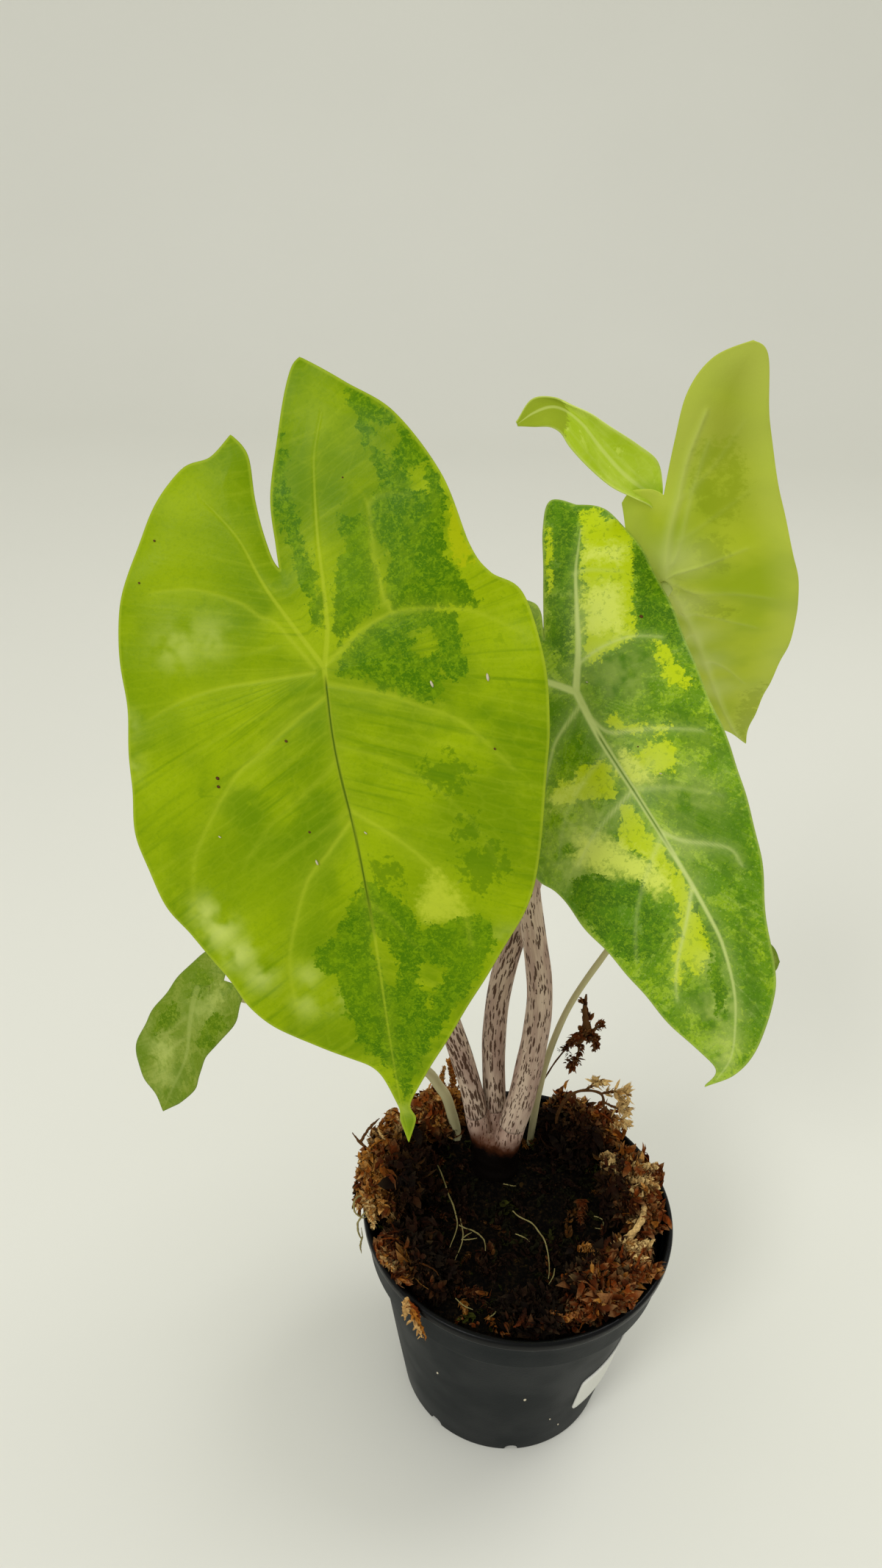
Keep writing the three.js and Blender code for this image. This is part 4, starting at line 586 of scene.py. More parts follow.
def spline(points, per_span=24):
    """A dense even line through points, with its end points doubled."""
    p = np.array(points, float)
    return catmull_rom(np.vstack([p[:1], p, p[-1:]]), per_span, 0)


def route(points, per_span=24):
    """A dense centripetal line through points in space, carried on straight at its ends."""
    p = np.array(points, float)
    return catmull_rom(np.vstack([2 * p[:1] - p[1:2], p, 2 * p[-1:] - p[-2:-1]]), per_span, 0.5)


def line_length(line):
    return np.linalg.norm(np.diff(line, axis=0), axis=1).sum()


def unit(v):
    return v / np.linalg.norm(v, axis=-1, keepdims=True)


def from_axis(points):
    """Each point's distance from the pot's axis."""
    return np.hypot(points[..., 0], points[..., 1])


def line_distance(points, line):
    """Each flat point's distance to a line, and the share of the line's length at the nearest place."""
    best = np.full(len(points), 1e9)
    place = np.zeros(len(points))
    lengths = np.linalg.norm(np.diff(line, axis=0), axis=1)
    total, start = lengths.sum(), 0.0
    for a, b, length in zip(line[:-1], line[1:], lengths):
        d = b - a
        t = np.clip(((points - a) @ d) / max(length * length, 1e-9), 0, 1)
        gap = np.hypot(*(points - a - t[:, None] * d).T)
        nearer = gap < best
        best = np.where(nearer, gap, best)
        place = np.where(nearer, (start + t * length) / total, place)
        start += length
    return best, place


def signed_depth(points, outline):
    """How deep each flat point lies inside a closed outline; outside it is negative."""
    ring = np.array([*outline, outline[0]], float)
    depth, _ = line_distance(points, ring)
    inside = np.zeros(len(points), bool)
    for (ax, ay), (bx, by) in zip(ring[:-1], ring[1:]):
        if ay == by:
            continue
        crosses = (ay > points[:, 1]) != (by > points[:, 1])
        inside ^= crosses & (points[:, 0] < (bx - ax) * (points[:, 1] - ay) / (by - ay) + ax)
    return np.where(inside, depth, -depth)


def field(points, outlines):
    """The greatest depth in any of the outlines, held within the reach of the ragged edges."""
    depths = [np.full(len(points), -FIELD_REACH), *(signed_depth(points, outline) for outline in outlines)]
    return np.clip(np.max(depths, axis=0), -FIELD_REACH, FIELD_REACH)


# Meshes

def new_object(name, points, faces, materials, slots=None, fields=None, smooth=True):
    """A mesh piece from points in millimetres, triangles or quads, and named values at its points."""
    faces = [np.asarray(f, np.int32) for f in (faces if isinstance(faces, list) else [faces]) if len(f)]
    mesh = bpy.data.meshes.new(name)
    mesh.vertices.add(len(points))
    mesh.vertices.foreach_set("co", (np.asarray(points, float) * MM).ravel())
    corners = np.concatenate([f.ravel() for f in faces])
    sizes = np.concatenate([np.full(len(f), f.shape[1]) for f in faces])
    mesh.loops.add(len(corners))
    mesh.loops.foreach_set("vertex_index", corners)
    mesh.polygons.add(len(sizes))
    mesh.polygons.foreach_set("loop_start", np.concatenate([[0], np.cumsum(sizes)[:-1]]))
    mesh.polygons.foreach_set("use_smooth", np.full(len(sizes), smooth))
    for material in materials:
        mesh.materials.append(material)
    if slots is not None:
        mesh.polygons.foreach_set("material_index", np.asarray(slots, np.int32))
    for key, values in (fields or {}).items():
        values = np.asarray(values, np.float32)
        kind = "FLOAT_VECTOR" if values.ndim == 2 else "FLOAT"
        attribute = mesh.attributes.new(key, kind, "POINT")
        attribute.data.foreach_set("vector" if values.ndim == 2 else "value", values.ravel())
    mesh.update(calc_edges=True)
    mesh.validate()
    made = bpy.data.objects.new(name, mesh)
    bpy.context.scene.collection.objects.link(made)
    return made


def dress(piece, slot, *nodes):
    """The piece rides on the one body and stands for the given nodes; the slot is not used."""
    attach(piece, BODY)
    if nodes:
        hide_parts(*nodes)


def grid_faces(rows, columns, closed=False):
    """Quads over rows of points; closed joins the last column to the first."""
    r, c = np.meshgrid(np.arange(rows - 1), np.arange(columns if closed else columns - 1), indexing="ij")
    a, b = r * columns + c, r * columns + (c + 1) % columns
    return np.stack([a, b, b + columns, a + columns], axis=-1).reshape(-1, 4)


def capped(rings, first, last):
    """A closed shape from rings of points, with one point at each end: points and faces."""
    rows, sides = rings.shape[:2]
    ends, ring = rows * sides, np.arange(sides)
    after = (ring + 1) % sides
    low = np.stack([np.full(sides, ends), after, ring], axis=1)
    high = np.stack([np.full(sides, ends + 1), ends - sides + ring, ends - sides + after], axis=1)
    points = np.vstack([rings.reshape(-1, 3), [first], [last]])
    return points, [grid_faces(rows, sides, closed=True), np.vstack([low, high])]


class Pile:
    """Gathers shapes into one mesh: points, faces of each size, and values at the points."""

    def __init__(self):
        self.points, self.faces, self.fields, self.count = [], {}, {}, 0

    def put(self, points, faces, **fields):
        """Adds a shape; a field is one value for all its points, or one for each."""
        self.points.append(np.asarray(points, float))
        for f in faces if isinstance(faces, list) else [faces]:
            self.faces.setdefault(f.shape[1], []).append(f + self.count)
        for key, values in fields.items():
            shape = (len(points),) + np.shape(values)[1:]
            self.fields.setdefault(key, []).append(np.broadcast_to(np.asarray(values, float), shape))
        self.count += len(points)

    def put_moss(self, points, faces, tone, tip=0.0, buried=0.0, green=0.0):
        """Adds a shape with the four values that the moss finish reads."""
        self.put(points, faces, tone=tone, tip=tip, buried=buried, green=green)

    def build(self, name, material, **options):
        fields = {key: np.concatenate(values) for key, values in self.fields.items()}
        faces = [np.concatenate(f) for f in self.faces.values()]
        materials = [MATERIALS[key] for key in material.split()]
        return new_object(name, np.concatenate(self.points), faces, materials, fields=fields, **options)


def tube(line, radii, sides, steps, wobble=0.0, seed=0, flat=1.0):
    """A closed tube along a dense line: points, faces, and its grain, which is round and along in mm."""
    places = np.linspace(0, 1, steps + 1)
    centre = polyline_at(line, places)
    ahead = unit(np.gradient(centre, axis=0))
    side = np.empty_like(centre)
    side[0] = unit(np.cross(ahead[0], [0.31, 0.77, 0.55]))
    for i in range(1, len(centre)):
        side[i] = unit(side[i - 1] - (side[i - 1] @ ahead[i]) * ahead[i])
    radius = np.interp(places, np.linspace(0, 1, len(radii)), radii)[:, None]
    turn = np.linspace(0, 2 * pi, sides, endpoint=False)[None]
    if wobble:
        first, second = np.random.default_rng(seed).uniform(0, 2 * pi, 2)
        along = places[:, None] * 40
        waves = np.sin(along * 1.3 + 2 * turn + first) + np.sin(along * 0.7 - turn + second)
        radius = radius * (1 + wobble * waves)
    x, y = radius * np.cos(turn), radius * np.sin(turn) * flat
    rings = centre[:, None] + x[..., None] * side[:, None] + y[..., None] * np.cross(ahead, side)[:, None]
    points, faces = capped(rings, centre[0], centre[-1])
    length = line_length(centre)
    grain = np.stack([x, y, np.broadcast_to(places[:, None] * length, x.shape)], axis=-1).reshape(-1, 3)
    return points, faces, np.vstack([grain, [[0, 0, 0], [0, 0, length]]])


# Shader nodes

def linear(r, g, b):
    """An 8-bit display colour as Blender's linear colour."""
    return tuple((c / 255 / 12.92) if c <= 10 else ((c / 255 + 0.055) / 1.055) ** 2.4 for c in (r, g, b))


class Graph:
    """Adds nodes to a material or a node group, and links whatever is given for each input."""

    def __init__(self, tree):
        self.tree = tree

    def put(self, socket, value):
        """Links a socket or sets its value. A plain colour is given in display values."""
        if isinstance(value, bpy.types.NodeSocket):
            self.tree.links.new(value, socket)
        else:
            socket.default_value = (*linear(*value), 1) if socket.type == "RGBA" else value

    def node(self, kind, inputs, **settings):
        made = self.tree.nodes.new("ShaderNode" + kind)
        for key, value in settings.items():
            setattr(made, key, value)
        for key, value in inputs.items():
            self.put(made.inputs[key], value)
        return made

    def math(self, operation, a, b=0.0, c=0.0):
        return self.node("Math", {0: a, 1: b, 2: c}, operation=operation).outputs[0]

    def vector(self, operation, a, b):
        return self.node("VectorMath", {0: a, 1: b}, operation=operation).outputs[0]

    def mix(self, share, a, b):
        return self.node("Mix", {0: share, 6: a, 7: b}, data_type="RGBA").outputs[2]

    def paint(self, colour, *layers):
        """Lays colours over a colour, each by its mask and strength, the lowest first."""
        for share, top, strength in layers:
            share = share if strength == 1 else self.math("MULTIPLY", share, strength)
            colour = self.mix(share, colour, top)
        return colour

    def step(self, value, low, high, to_low=0.0, to_high=1.0):
        inputs = {0: value, 1: low, 2: high, 3: to_low, 4: to_high}
        return self.node("MapRange", inputs, interpolation_type="SMOOTHSTEP").outputs[0]

    def noise(self, place, scale, detail=2.0, roughness=0.5, distortion=0.0):
        inputs = {"Vector": place, "Scale": scale, "Detail": detail, "Roughness": roughness,
                  "Distortion": distortion}
        return self.node("TexNoise", inputs).outputs["Fac"]

    def streaks(self, place, stretch, detail, roughness):
        """Noise drawn out along the axes by the stretch given for each."""
        return self.noise(self.vector("MULTIPLY", place, stretch), 1.0, detail, roughness)

    def cells(self, place, scale, feature="F1"):
        made = self.node("TexVoronoi", {"Vector": place, "Scale": scale}, feature=feature)
        return made.outputs["Distance"]

    def value(self, name):
        return self.node("Attribute", {}, attribute_name=name).outputs["Fac"]

    def place(self, name):
        return self.node("Attribute", {}, attribute_name=name).outputs["Vector"]

    def millimetres(self):
        """The piece's own coordinates, scaled from metres to millimetres."""
        return self.vector("MULTIPLY", self.node("TexCoord", {}).outputs["Object"], [1 / MM] * 3)

    def height(self, place):
        return self.node("SeparateXYZ", {0: place}).outputs[2]

    def group(self, name, **inputs):
        made = self.node("Group", {}, node_tree=bpy.data.node_groups[name])
        for key, value in inputs.items():
            self.put(made.inputs[key.capitalize()], value)
        return made.outputs[0]

    def bump(self, height, strength, distance):
        inputs = {"Height": height, "Strength": strength, "Distance": distance * MM}
        return self.node("Bump", inputs).outputs[0]


def new_group(name, draw, output, **inputs):
    """A node group with a place, plain numbers and one output; draw fills it in."""
    tree = bpy.data.node_groups.new(name, "ShaderNodeTree")
    tree.interface.new_socket("Place", in_out="INPUT", socket_type="NodeSocketVector")
    for key, value in inputs.items():
        socket = tree.interface.new_socket(key.capitalize(), in_out="INPUT", socket_type="NodeSocketFloat")
        socket.default_value = value
    tree.interface.new_socket(output, in_out="OUTPUT", socket_type="NodeSocketFloat")
    source, target = tree.nodes.new("NodeGroupInput"), tree.nodes.new("NodeGroupOutput")
    graph = Graph(tree)
    graph.put(target.inputs[0], draw(graph, source.outputs))


def draw_ragged_patch(graph, given):
    """A patch's depth field broken up at its edge by coarse and fine noise."""
    broad = graph.noise(given["Place"], 0.36, 4, 0.65, 0.5)
    fine = graph.noise(given["Place"], 1.0, 5, 0.75)
    shift = graph.math("ADD", graph.math("MULTIPLY_ADD", broad, 5.6, -2.8),
                       graph.math("MULTIPLY_ADD", fine, 4.4, -2.2))
    depth = graph.math("MULTIPLY_ADD", shift, given["Ragged"], given["Field"])
    return graph.step(depth, graph.math("MULTIPLY", given["Softness"], -1.0), given["Softness"])


def draw_blotches(graph, given):
    """Irregular blotches with ragged edges; Amount is the share of the surface that they cover."""
    spots = graph.noise(given["Place"], given["Scale"], 6, 0.66, 0.5)
    low = graph.math("MULTIPLY_ADD", given["Amount"], -0.36, 0.66)
    return graph.step(spots, low, graph.math("ADD", low, given["Softness"]))


def draw_fine_veins(graph, given):
    """A faint net of hairline veins, drawn out along the flow from rib to margin."""
    place = graph.vector("MULTIPLY", given["Place"], (1.0, 0.45, 1.0))
    gap = graph.cells(place, given["Scale"], "DISTANCE_TO_EDGE")
    return graph.step(gap, 0.1, 0.01)


def draw_skin_grain(graph, given):
    """Fine pebbled height for skins and moulded surfaces."""
    fine = graph.noise(given["Place"], given["Scale"], 2, 0.6)
    pebble = graph.cells(given["Place"], graph.math("MULTIPLY", given["Scale"], 0.6))
    return graph.math("MULTIPLY_ADD", pebble, given["Pebble"], fine)


def draw_dashes(graph, given):
    """Long narrow dashes that run with the grain's third axis, sharp at their sides."""
    wander = graph.streaks(given["Place"], (0.8, 0.8, 0.5), 3, 0.6)
    sway = graph.node("CombineXYZ", {0: graph.math("MULTIPLY", wander, 0.35), 1: wander}).outputs[0]
    bent = graph.vector("ADD", graph.vector("MULTIPLY", given["Place"], (1.0, 1.0, 0.14)), sway)
    low, high = (graph.math("MULTIPLY", given["Amount"], share) for share in (0.2, 0.27))
    wide = graph.step(graph.cells(bent, 1.0), high, low)
    second = graph.cells(graph.vector("ADD", bent, (13, 5, 3)), 1.7)
    thin = graph.step(second, graph.math("MULTIPLY", high, 1.1), low)
    return graph.math("MAXIMUM", wide, thin)


def build_groups():
    new_group("Ragged patch", draw_ragged_patch, "Mask", field=0.0, ragged=1.0, softness=0.3)
    new_group("Blotches", draw_blotches, "Mask", scale=1.0, amount=0.3, softness=0.04)
    new_group("Fine veins", draw_fine_veins, "Mask", scale=0.4)
    new_group("Skin grain", draw_skin_grain, "Height", scale=4.0, pebble=0.5)
    new_group("Dashes", draw_dashes, "Mask", amount=1.0)


def new_material(name, draw, **shader):
    """A material whose shader takes plain values from shader and links from draw."""
    made = bpy.data.materials.new(name)
    made.use_nodes = True
    graph = Graph(made.node_tree)
    surface = made.node_tree.nodes["Principled BSDF"]
    for key, value in {**draw(graph), **shader}.items():
        graph.put(surface.inputs[key.replace("_", " ")], value)
    return made


# Leaf finishes. Colours are 8-bit display values.
# In each palette, the pale glare colour paints sheen and the groove colour paints the shadow line in the
# midrib's groove.
FRONT_PALETTE = Spec(
    base=(112, 141, 0), warm=(146, 170, 2), deep=(98, 132, 0), dark=(70, 112, 0), fleck=(120, 154, 4),
    gold=(166, 178, 6), cream=(206, 216, 66), vein=(178, 194, 44), groove=(40, 76, 0), edge=(166, 184, 46),
    mist=(206, 218, 112), mottle=0.08, light=0.02, blotch=0.3, light_scale=0.2, light_strength=0.5, rib=0.5,
    side=0.5, cream_share=0.5, speck=0.12,
)
LONG_PALETTE = Spec(
    base=(108, 150, 4), warm=(150, 182, 20), deep=(84, 130, 0), dark=(66, 110, 0), fleck=(124, 160, 14),
    gold=(190, 208, 8), cream=(212, 224, 92), vein=(200, 214, 128), groove=(90, 124, 20),
    edge=(166, 186, 80), mist=(200, 214, 110), mottle=0.5, light=0.3, blotch=0.7, light_scale=0.8,
    light_strength=0.6, rib=1, side=0.75, cream_share=0.95, speck=0.5,
)
SMALL_PALETTE = Spec(
    base=(112, 134, 34), warm=(132, 148, 54), deep=(98, 126, 14), dark=(82, 114, 6), fleck=(126, 148, 36),
    gold=(160, 176, 60), cream=(178, 190, 96), vein=(166, 178, 92), groove=(118, 140, 44),
    edge=(110, 130, 50), mist=(176, 188, 100), mottle=0.45, light=0.4, blotch=0.6, light_scale=0.3,
    light_strength=0.6, rib=0.4, side=0.3, cream_share=0.6, speck=0.45,
)
LIME_PALETTE = Spec(
    base=(198, 220, 66), warm=(210, 228, 96), deep=(178, 204, 42), dark=(150, 170, 30),
    fleck=(184, 206, 60), gold=(152, 170, 40), cream=(214, 226, 112), vein=(218, 230, 130),
    groove=(186, 202, 90), edge=(206, 220, 120), mist=(214, 226, 112), mottle=0.2, light=0.2, blotch=0.3,
    light_scale=0.2, light_strength=0.7, rib=0.5, side=0.5, cream_share=0.8, speck=0.1,
)
# On the underside, the dull colour paints shade, the pale colour paints light glowing through the rim, and
# the vein colour also paints sheen.
UNDERSIDE_PALETTE = Spec(
    base=(186, 202, 40), deep=(164, 186, 20), pale=(200, 212, 92), dark=(140, 160, 12),
    vein=(212, 222, 132), dull=(158, 166, 58),
)


def draw_upper_face(dye):
    """An upper face: clouded greens, specks and ragged patches, with painted light, painted sheen and
    painted shading of its ribbed relief, under the veins, the painted groove shadow and the edge.
    """
    def draw(graph):
        place, flow = graph.place("blade"), graph.place("flow")

        def patch(name, ragged, softness):
            return graph.group("Ragged patch", place=place, field=graph.value(name), ragged=ragged,
                               softness=softness)

        def spots(shift, scale, amount, softness):
            moved = graph.vector("ADD", place, shift)
            return graph.group("Blotches", place=moved, scale=scale, amount=amount, softness=softness)

        tone = graph.noise(place, 0.045, 3, 0.55)
        cloud = graph.noise(graph.vector("ADD", place, (40, 17, 5)), 0.06, 3, 0.5)
        ray = graph.streaks(flow, (0.55, 0.035, 1), 2, 0.5)
        # Breaks up the painted sheen, a pale glare over the blade.
        mist = graph.step(graph.noise(place, 0.2, 2, 0.5), 0.3, 0.6)
        colour = graph.paint(
            graph.mix(graph.step(tone, 0.36, 0.64), dye.base, dye.warm),
            # Then pale and dark bands along the streaks, painted shading of their low relief.
            (graph.step(cloud, 0.44, 0.66), dye.deep, 1), (graph.step(ray, 0.5, 0.75), dye.vein, 0.16),
            (graph.step(ray, 0.48, 0.3), dye.deep, 0.6),
            (graph.group("Fine veins", place=flow, scale=0.42), dye.vein, 0.07),
            # Painted light: warmer patches where light falls on the blade.
            (graph.value("sun"), dye.warm, 1),
            (spots((0, 0, 0), 0.17, dye.mottle, 0.03), dye.deep, dye.blotch),
            (spots((9, 70, 2), dye.light_scale, dye.light, 0.08), dye.warm, dye.light_strength),
            (spots((3, 8, 1), 1.5, 0.42, 0.1), dye.dark, dye.speck),
            (spots((5, 2, 9), 2.2, 0.3, 0.1), dye.vein, 0.35 * dye.speck),
            (patch("faint", 2.2, 0.8), dye.dark, 0.55), (patch("gold", 1.3, 0.4), dye.gold, 0.92),
            (patch("cream", 1.4, 2), dye.cream, dye.cream_share),
            (spots((1, 4, 6), 0.9, 0.3, 0.06), dye.deep, 0.7 * dye.speck),
            # Painted sheen: pale glare laid over the soft sheen spots.
            (graph.math("MULTIPLY", graph.value("haze"), mist), dye.mist, 1))
        inside = graph.paint(
            dye.dark, (spots((0, 0, 0), 0.3, 0.5, 0.1), dye.deep, 0.8),
            (spots((2, 5, 3), 0.55, 0.34, 0.12), dye.fleck, 0.6),
            (spots((7, 1, 2), 1.3, 0.44, 0.12), dye.fleck, 0.7),
            # Painted light also lifts the dark patches with flecks.
            (spots((4, 6, 8), 2.6, 0.4, 0.12), dye.fleck, 0.5), (graph.value("sun"), dye.fleck, 0.5))
        colour = graph.paint(
            graph.mix(patch("dark", 1.25, 0.3), colour, inside), (graph.value("vein"), dye.vein, dye.side),
            (graph.step(graph.value("rib"), 0.25, 0.8), dye.vein, dye.rib),
            # Painted shadow: the dark line in the midrib's groove.
            (graph.value("seam"), dye.groove, 0.95),
            (graph.step(graph.value("edge"), 0.6, 0.1), dye.edge, 0.5))
        grain = graph.group("Skin grain", place=place, scale=3.0, pebble=0.4)
        height = graph.math("MULTIPLY_ADD", graph.noise(place, 0.5, 3, 0.55), 1.4,
                            graph.math("MULTIPLY", grain, 0.45))
        height = graph.math("MULTIPLY_ADD", ray, 1.2, height)
        rough = graph.step(graph.noise(place, 0.12, 2, 0.5), 0.3, 0.7, 0.33, 0.42)
        return {"Base_Color": colour, "Roughness": rough, "Normal": graph.bump(height, 0.35, 0.12)}
    return draw


def draw_underside(dye):
    """An underside: pale olive with painted shade and painted sheen, paler round its rim where light is
    painted glowing through, with faint ribs and marks.
    """
    def draw(graph):
        place = graph.place("blade")
        tone = graph.noise(place, 0.045, 3, 0.5)
        dark = graph.group("Ragged patch", place=place, field=graph.value("dark"), ragged=2.0, softness=1.5)
        colour = graph.paint(
            # Painted shade: dull olive over the soft spots of light and shade.
            graph.mix(graph.step(tone, 0.38, 0.62), dye.base, dye.deep), (graph.value("sun"), dye.dull, 1),
            # Painted light: a paler band round the rim, light glowing through the thin edge.
            (graph.step(graph.value("edge"), 9.0, 0.5), dye.pale, 0.5), (dark, dye.dark, 0.5),
            # Painted sheen in the vein colour over the soft sheen spots.
            (graph.value("haze"), dye.vein, 1), (graph.value("vein"), dye.vein, 0.25),
            (graph.value("rib"), dye.vein, 0.4))
        grain = graph.group("Skin grain", place=place, scale=2.4, pebble=0.5)
        return {"Base_Color": colour, "Normal": graph.bump(grain, 0.3, 0.1)}
    return draw


def draw_stalk(graph):
    """Tan skin with fine lines and dark dashes along it, green next to the blade."""
    place = graph.place("grain")
    tone = graph.streaks(place, (0.3, 0.3, 0.04), 3, 0.6)
    lines = graph.streaks(place, (4, 4, 0.12), 2, 0.5)
    dashes = graph.group("Dashes", place=place, amount=graph.value("dash"))
    colour = graph.paint(
        graph.mix(graph.step(tone, 0.35, 0.65), (166, 140, 124), (200, 178, 156)),
        (graph.step(lines, 0.5, 0.75, 0, 0.5), (128, 98, 80), 1),
        (graph.value("green"), (190, 202, 120), 1), (dashes, (60, 36, 22), 0.9))
    height = graph.math("SUBTRACT", lines, graph.math("MULTIPLY", dashes, 0.4))
    return {"Base_Color": colour, "Normal": graph.bump(height, 0.4, 0.15)}


def draw_thin_stalk(graph):
    place = graph.place("grain")
    colour = graph.mix(graph.streaks(place, (0.6, 0.6, 0.05), 3, 0.6), (176, 168, 120), (206, 198, 154))
    lines = graph.streaks(place, (6, 6, 0.2), 2, 0.5)
    return {"Base_Color": colour, "Normal": graph.bump(lines, 0.3, 0.1)}


def draw_stem(graph):
    """The stalks' streaked skin, darkening to nearly black where it enters the peat."""
    place = graph.millimetres()
    tone = graph.streaks(place, (0.3, 0.3, 0.06), 3, 0.6)
    dashes = graph.group("Dashes", place=place, amount=1.1)
    level = graph.math("MULTIPLY_ADD", graph.noise(place, 0.4, 3, 0.6), 5.0, graph.height(place))
    colour = graph.paint(
        graph.mix(graph.step(tone, 0.35, 0.65), (150, 120, 104), (184, 156, 138)),
        (dashes, (60, 34, 22), 0.9), (graph.step(level, 90.5, 83.5), (80, 42, 22), 1),
        (graph.step(level, 86, 81), (10, 6, 4), 1))
    return {"Base_Color": colour, "Normal": graph.bump(dashes, 0.4, -0.15)}


def draw_pot(graph):
    """Charcoal plastic with a little dust, glossier and blacker on the lip."""
    place = graph.millimetres()
    tone = graph.noise(place, 0.05, 3, 0.5)
    dust = graph.group("Blotches", place=place, scale=0.9, amount=0.05, softness=0.05)
    lip_low = POT.height - POT.lip_height
    lip = graph.step(graph.height(place), lip_low - 0.2, lip_low + 0.6)
    colour = graph.paint(graph.mix(tone, (7, 12, 14), (13, 20, 22)), (dust, (90, 92, 86), 0.12),
                         (lip, (5, 6, 6), 1))
    grain = graph.group("Skin grain", place=place, scale=2.2, pebble=0.4)
    rough = graph.math("MULTIPLY_ADD", lip, -0.18, graph.step(tone, 0.3, 0.7, 0.42, 0.55))
    return {"Base_Color": colour, "Roughness": rough, "Normal": graph.bump(grain, 0.25, 0.1)}


def draw_label(graph):
    fibre = graph.noise(graph.millimetres(), 1.2, 4, 0.6)
    colour = graph.mix(fibre, (214, 214, 204), (226, 226, 218))
    return {"Base_Color": colour, "Normal": graph.bump(fibre, 0.2, 0.05)}


def draw_soil(graph):
    """Dark crumbs with scattered brown bits and a little green."""
    place = graph.millimetres()
    crumb = graph.noise(place, 0.9, 5, 0.7)
    bits = graph.group("Blotches", place=place, scale=0.5, amount=0.14, softness=0.05)
    shifted = graph.vector("ADD", place, (50, 9, 4))
    green = graph.group("Blotches", place=shifted, scale=0.3, amount=0.1, softness=0.06)
    colour = graph.paint(graph.mix(graph.step(crumb, 0.45, 0.7), (6, 5, 4), (30, 22, 12)),
                         (bits, (62, 44, 18), 0.6), (green, (44, 48, 10), 0.5))
    return {"Base_Color": colour, "Normal": graph.bump(crumb, 0.8, 0.6)}


def draw_moss(graph):
    """Dark brown to pale gold by tone, paler at the tips, green where told, and near black where painted
    shade is told.
    """
    tone = graph.value("tone")
    fine = graph.noise(graph.millimetres(), 1.4, 3, 0.6)
    colour = graph.paint(
        graph.mix(graph.step(tone, 0.0, 0.45), (40, 13, 2), (126, 56, 9)),
        (graph.step(tone, 0.4, 0.7), (182, 118, 38), 1), (graph.step(tone, 0.65, 1.0), (232, 198, 132), 1),
        (graph.step(graph.value("tip"), 0.4, 1.0), (226, 190, 124), 0.22),
        (graph.step(fine, 0.35, 0.7, 0.45, 0), (44, 22, 6), 1),
        (graph.step(graph.value("green"), 0.0, 1.0), (70, 76, 16), 1),
        # Painted shade: near black where the moss lies in shade.
        (graph.step(graph.value("buried"), 0.0, 1.0, 0, 0.95), (9, 5, 2), 1))
    return {"Base_Color": colour, "Normal": graph.bump(fine, 0.4, 0.2)}


def draw_fibre(dark, light):
    def draw(graph):
        lines = graph.streaks(graph.place("grain"), (3, 3, 0.6), 3, 0.6)
        return {"Base_Color": graph.mix(lines, dark, light), "Normal": graph.bump(lines, 0.5, 0.2)}
    return draw


def draw_floor(graph):
    tone = graph.noise(graph.millimetres(), 0.004, 3, 0.5)
    return {"Base_Color": graph.mix(tone, (229, 229, 219), (233, 233, 223))}


MATERIALS = {}


def build_materials():
    build_groups()
    sheens = (0.05, 0.14, 0.1, 0.12, 0.03)
    leaf, glossy, matt, dull, wet = ({"Specular_IOR_Level": sheen} for sheen in sheens)
    dry, root, crumb = (draw_fibre((40, 22, 8), (112, 76, 40)), draw_fibre((100, 92, 48), (160, 148, 98)),
                        draw_fibre((176, 166, 134), (216, 208, 188)))
    MATERIALS.update(
        leaf_front=new_material("Marbled chartreuse blade", draw_upper_face(FRONT_PALETTE), **leaf),
        leaf_long=new_material("Mottled green blade", draw_upper_face(LONG_PALETTE), **glossy),
        leaf_small=new_material("Sage blade", draw_upper_face(SMALL_PALETTE), **leaf),
        leaf_lime=new_material("Plain lime blade", draw_upper_face(LIME_PALETTE), **leaf),
        underside=new_material("Olive underside", draw_underside(UNDERSIDE_PALETTE), Roughness=0.5, **matt),
        stalk=new_material("Streaked stalk", draw_stalk, Roughness=0.5, **leaf),
        thin_stalk=new_material("Pale thin stalk", draw_thin_stalk, Roughness=0.5, **leaf),
        stem=new_material("Streaked stem base", draw_stem, Roughness=0.55, **leaf),
        pot=new_material("Charcoal moulded plastic", draw_pot, **dull),
        label=new_material("Plain white sticker", draw_label, Roughness=0.6, **matt),
        soil=new_material("Moist peat", draw_soil, Roughness=0.95, **wet),
        moss=new_material("Dried moss", draw_moss, Roughness=0.9, **matt),
        dry=new_material("Dry brown fibre", dry, Roughness=0.9, **matt),
        root=new_material("Pale root", root, Roughness=0.7, **matt),
        crumb=new_material("Pale crumb", crumb, Roughness=0.8, **matt),
        floor=new_material("Pale studio floor", draw_floor, Roughness=0.9, **matt),
    )


# Pot

def wall_radius(z):
    return POT.base + (POT.body_top - POT.base) / POT.collar_low * z


def arc(centre, radius, start, stop, steps):
    """Points on a round stretch between two angles in degrees."""
    turns = np.radians(np.linspace(start, stop, steps))
    return [(centre[0] + radius * cos(t), centre[1] + radius * sin(t)) for t in turns]


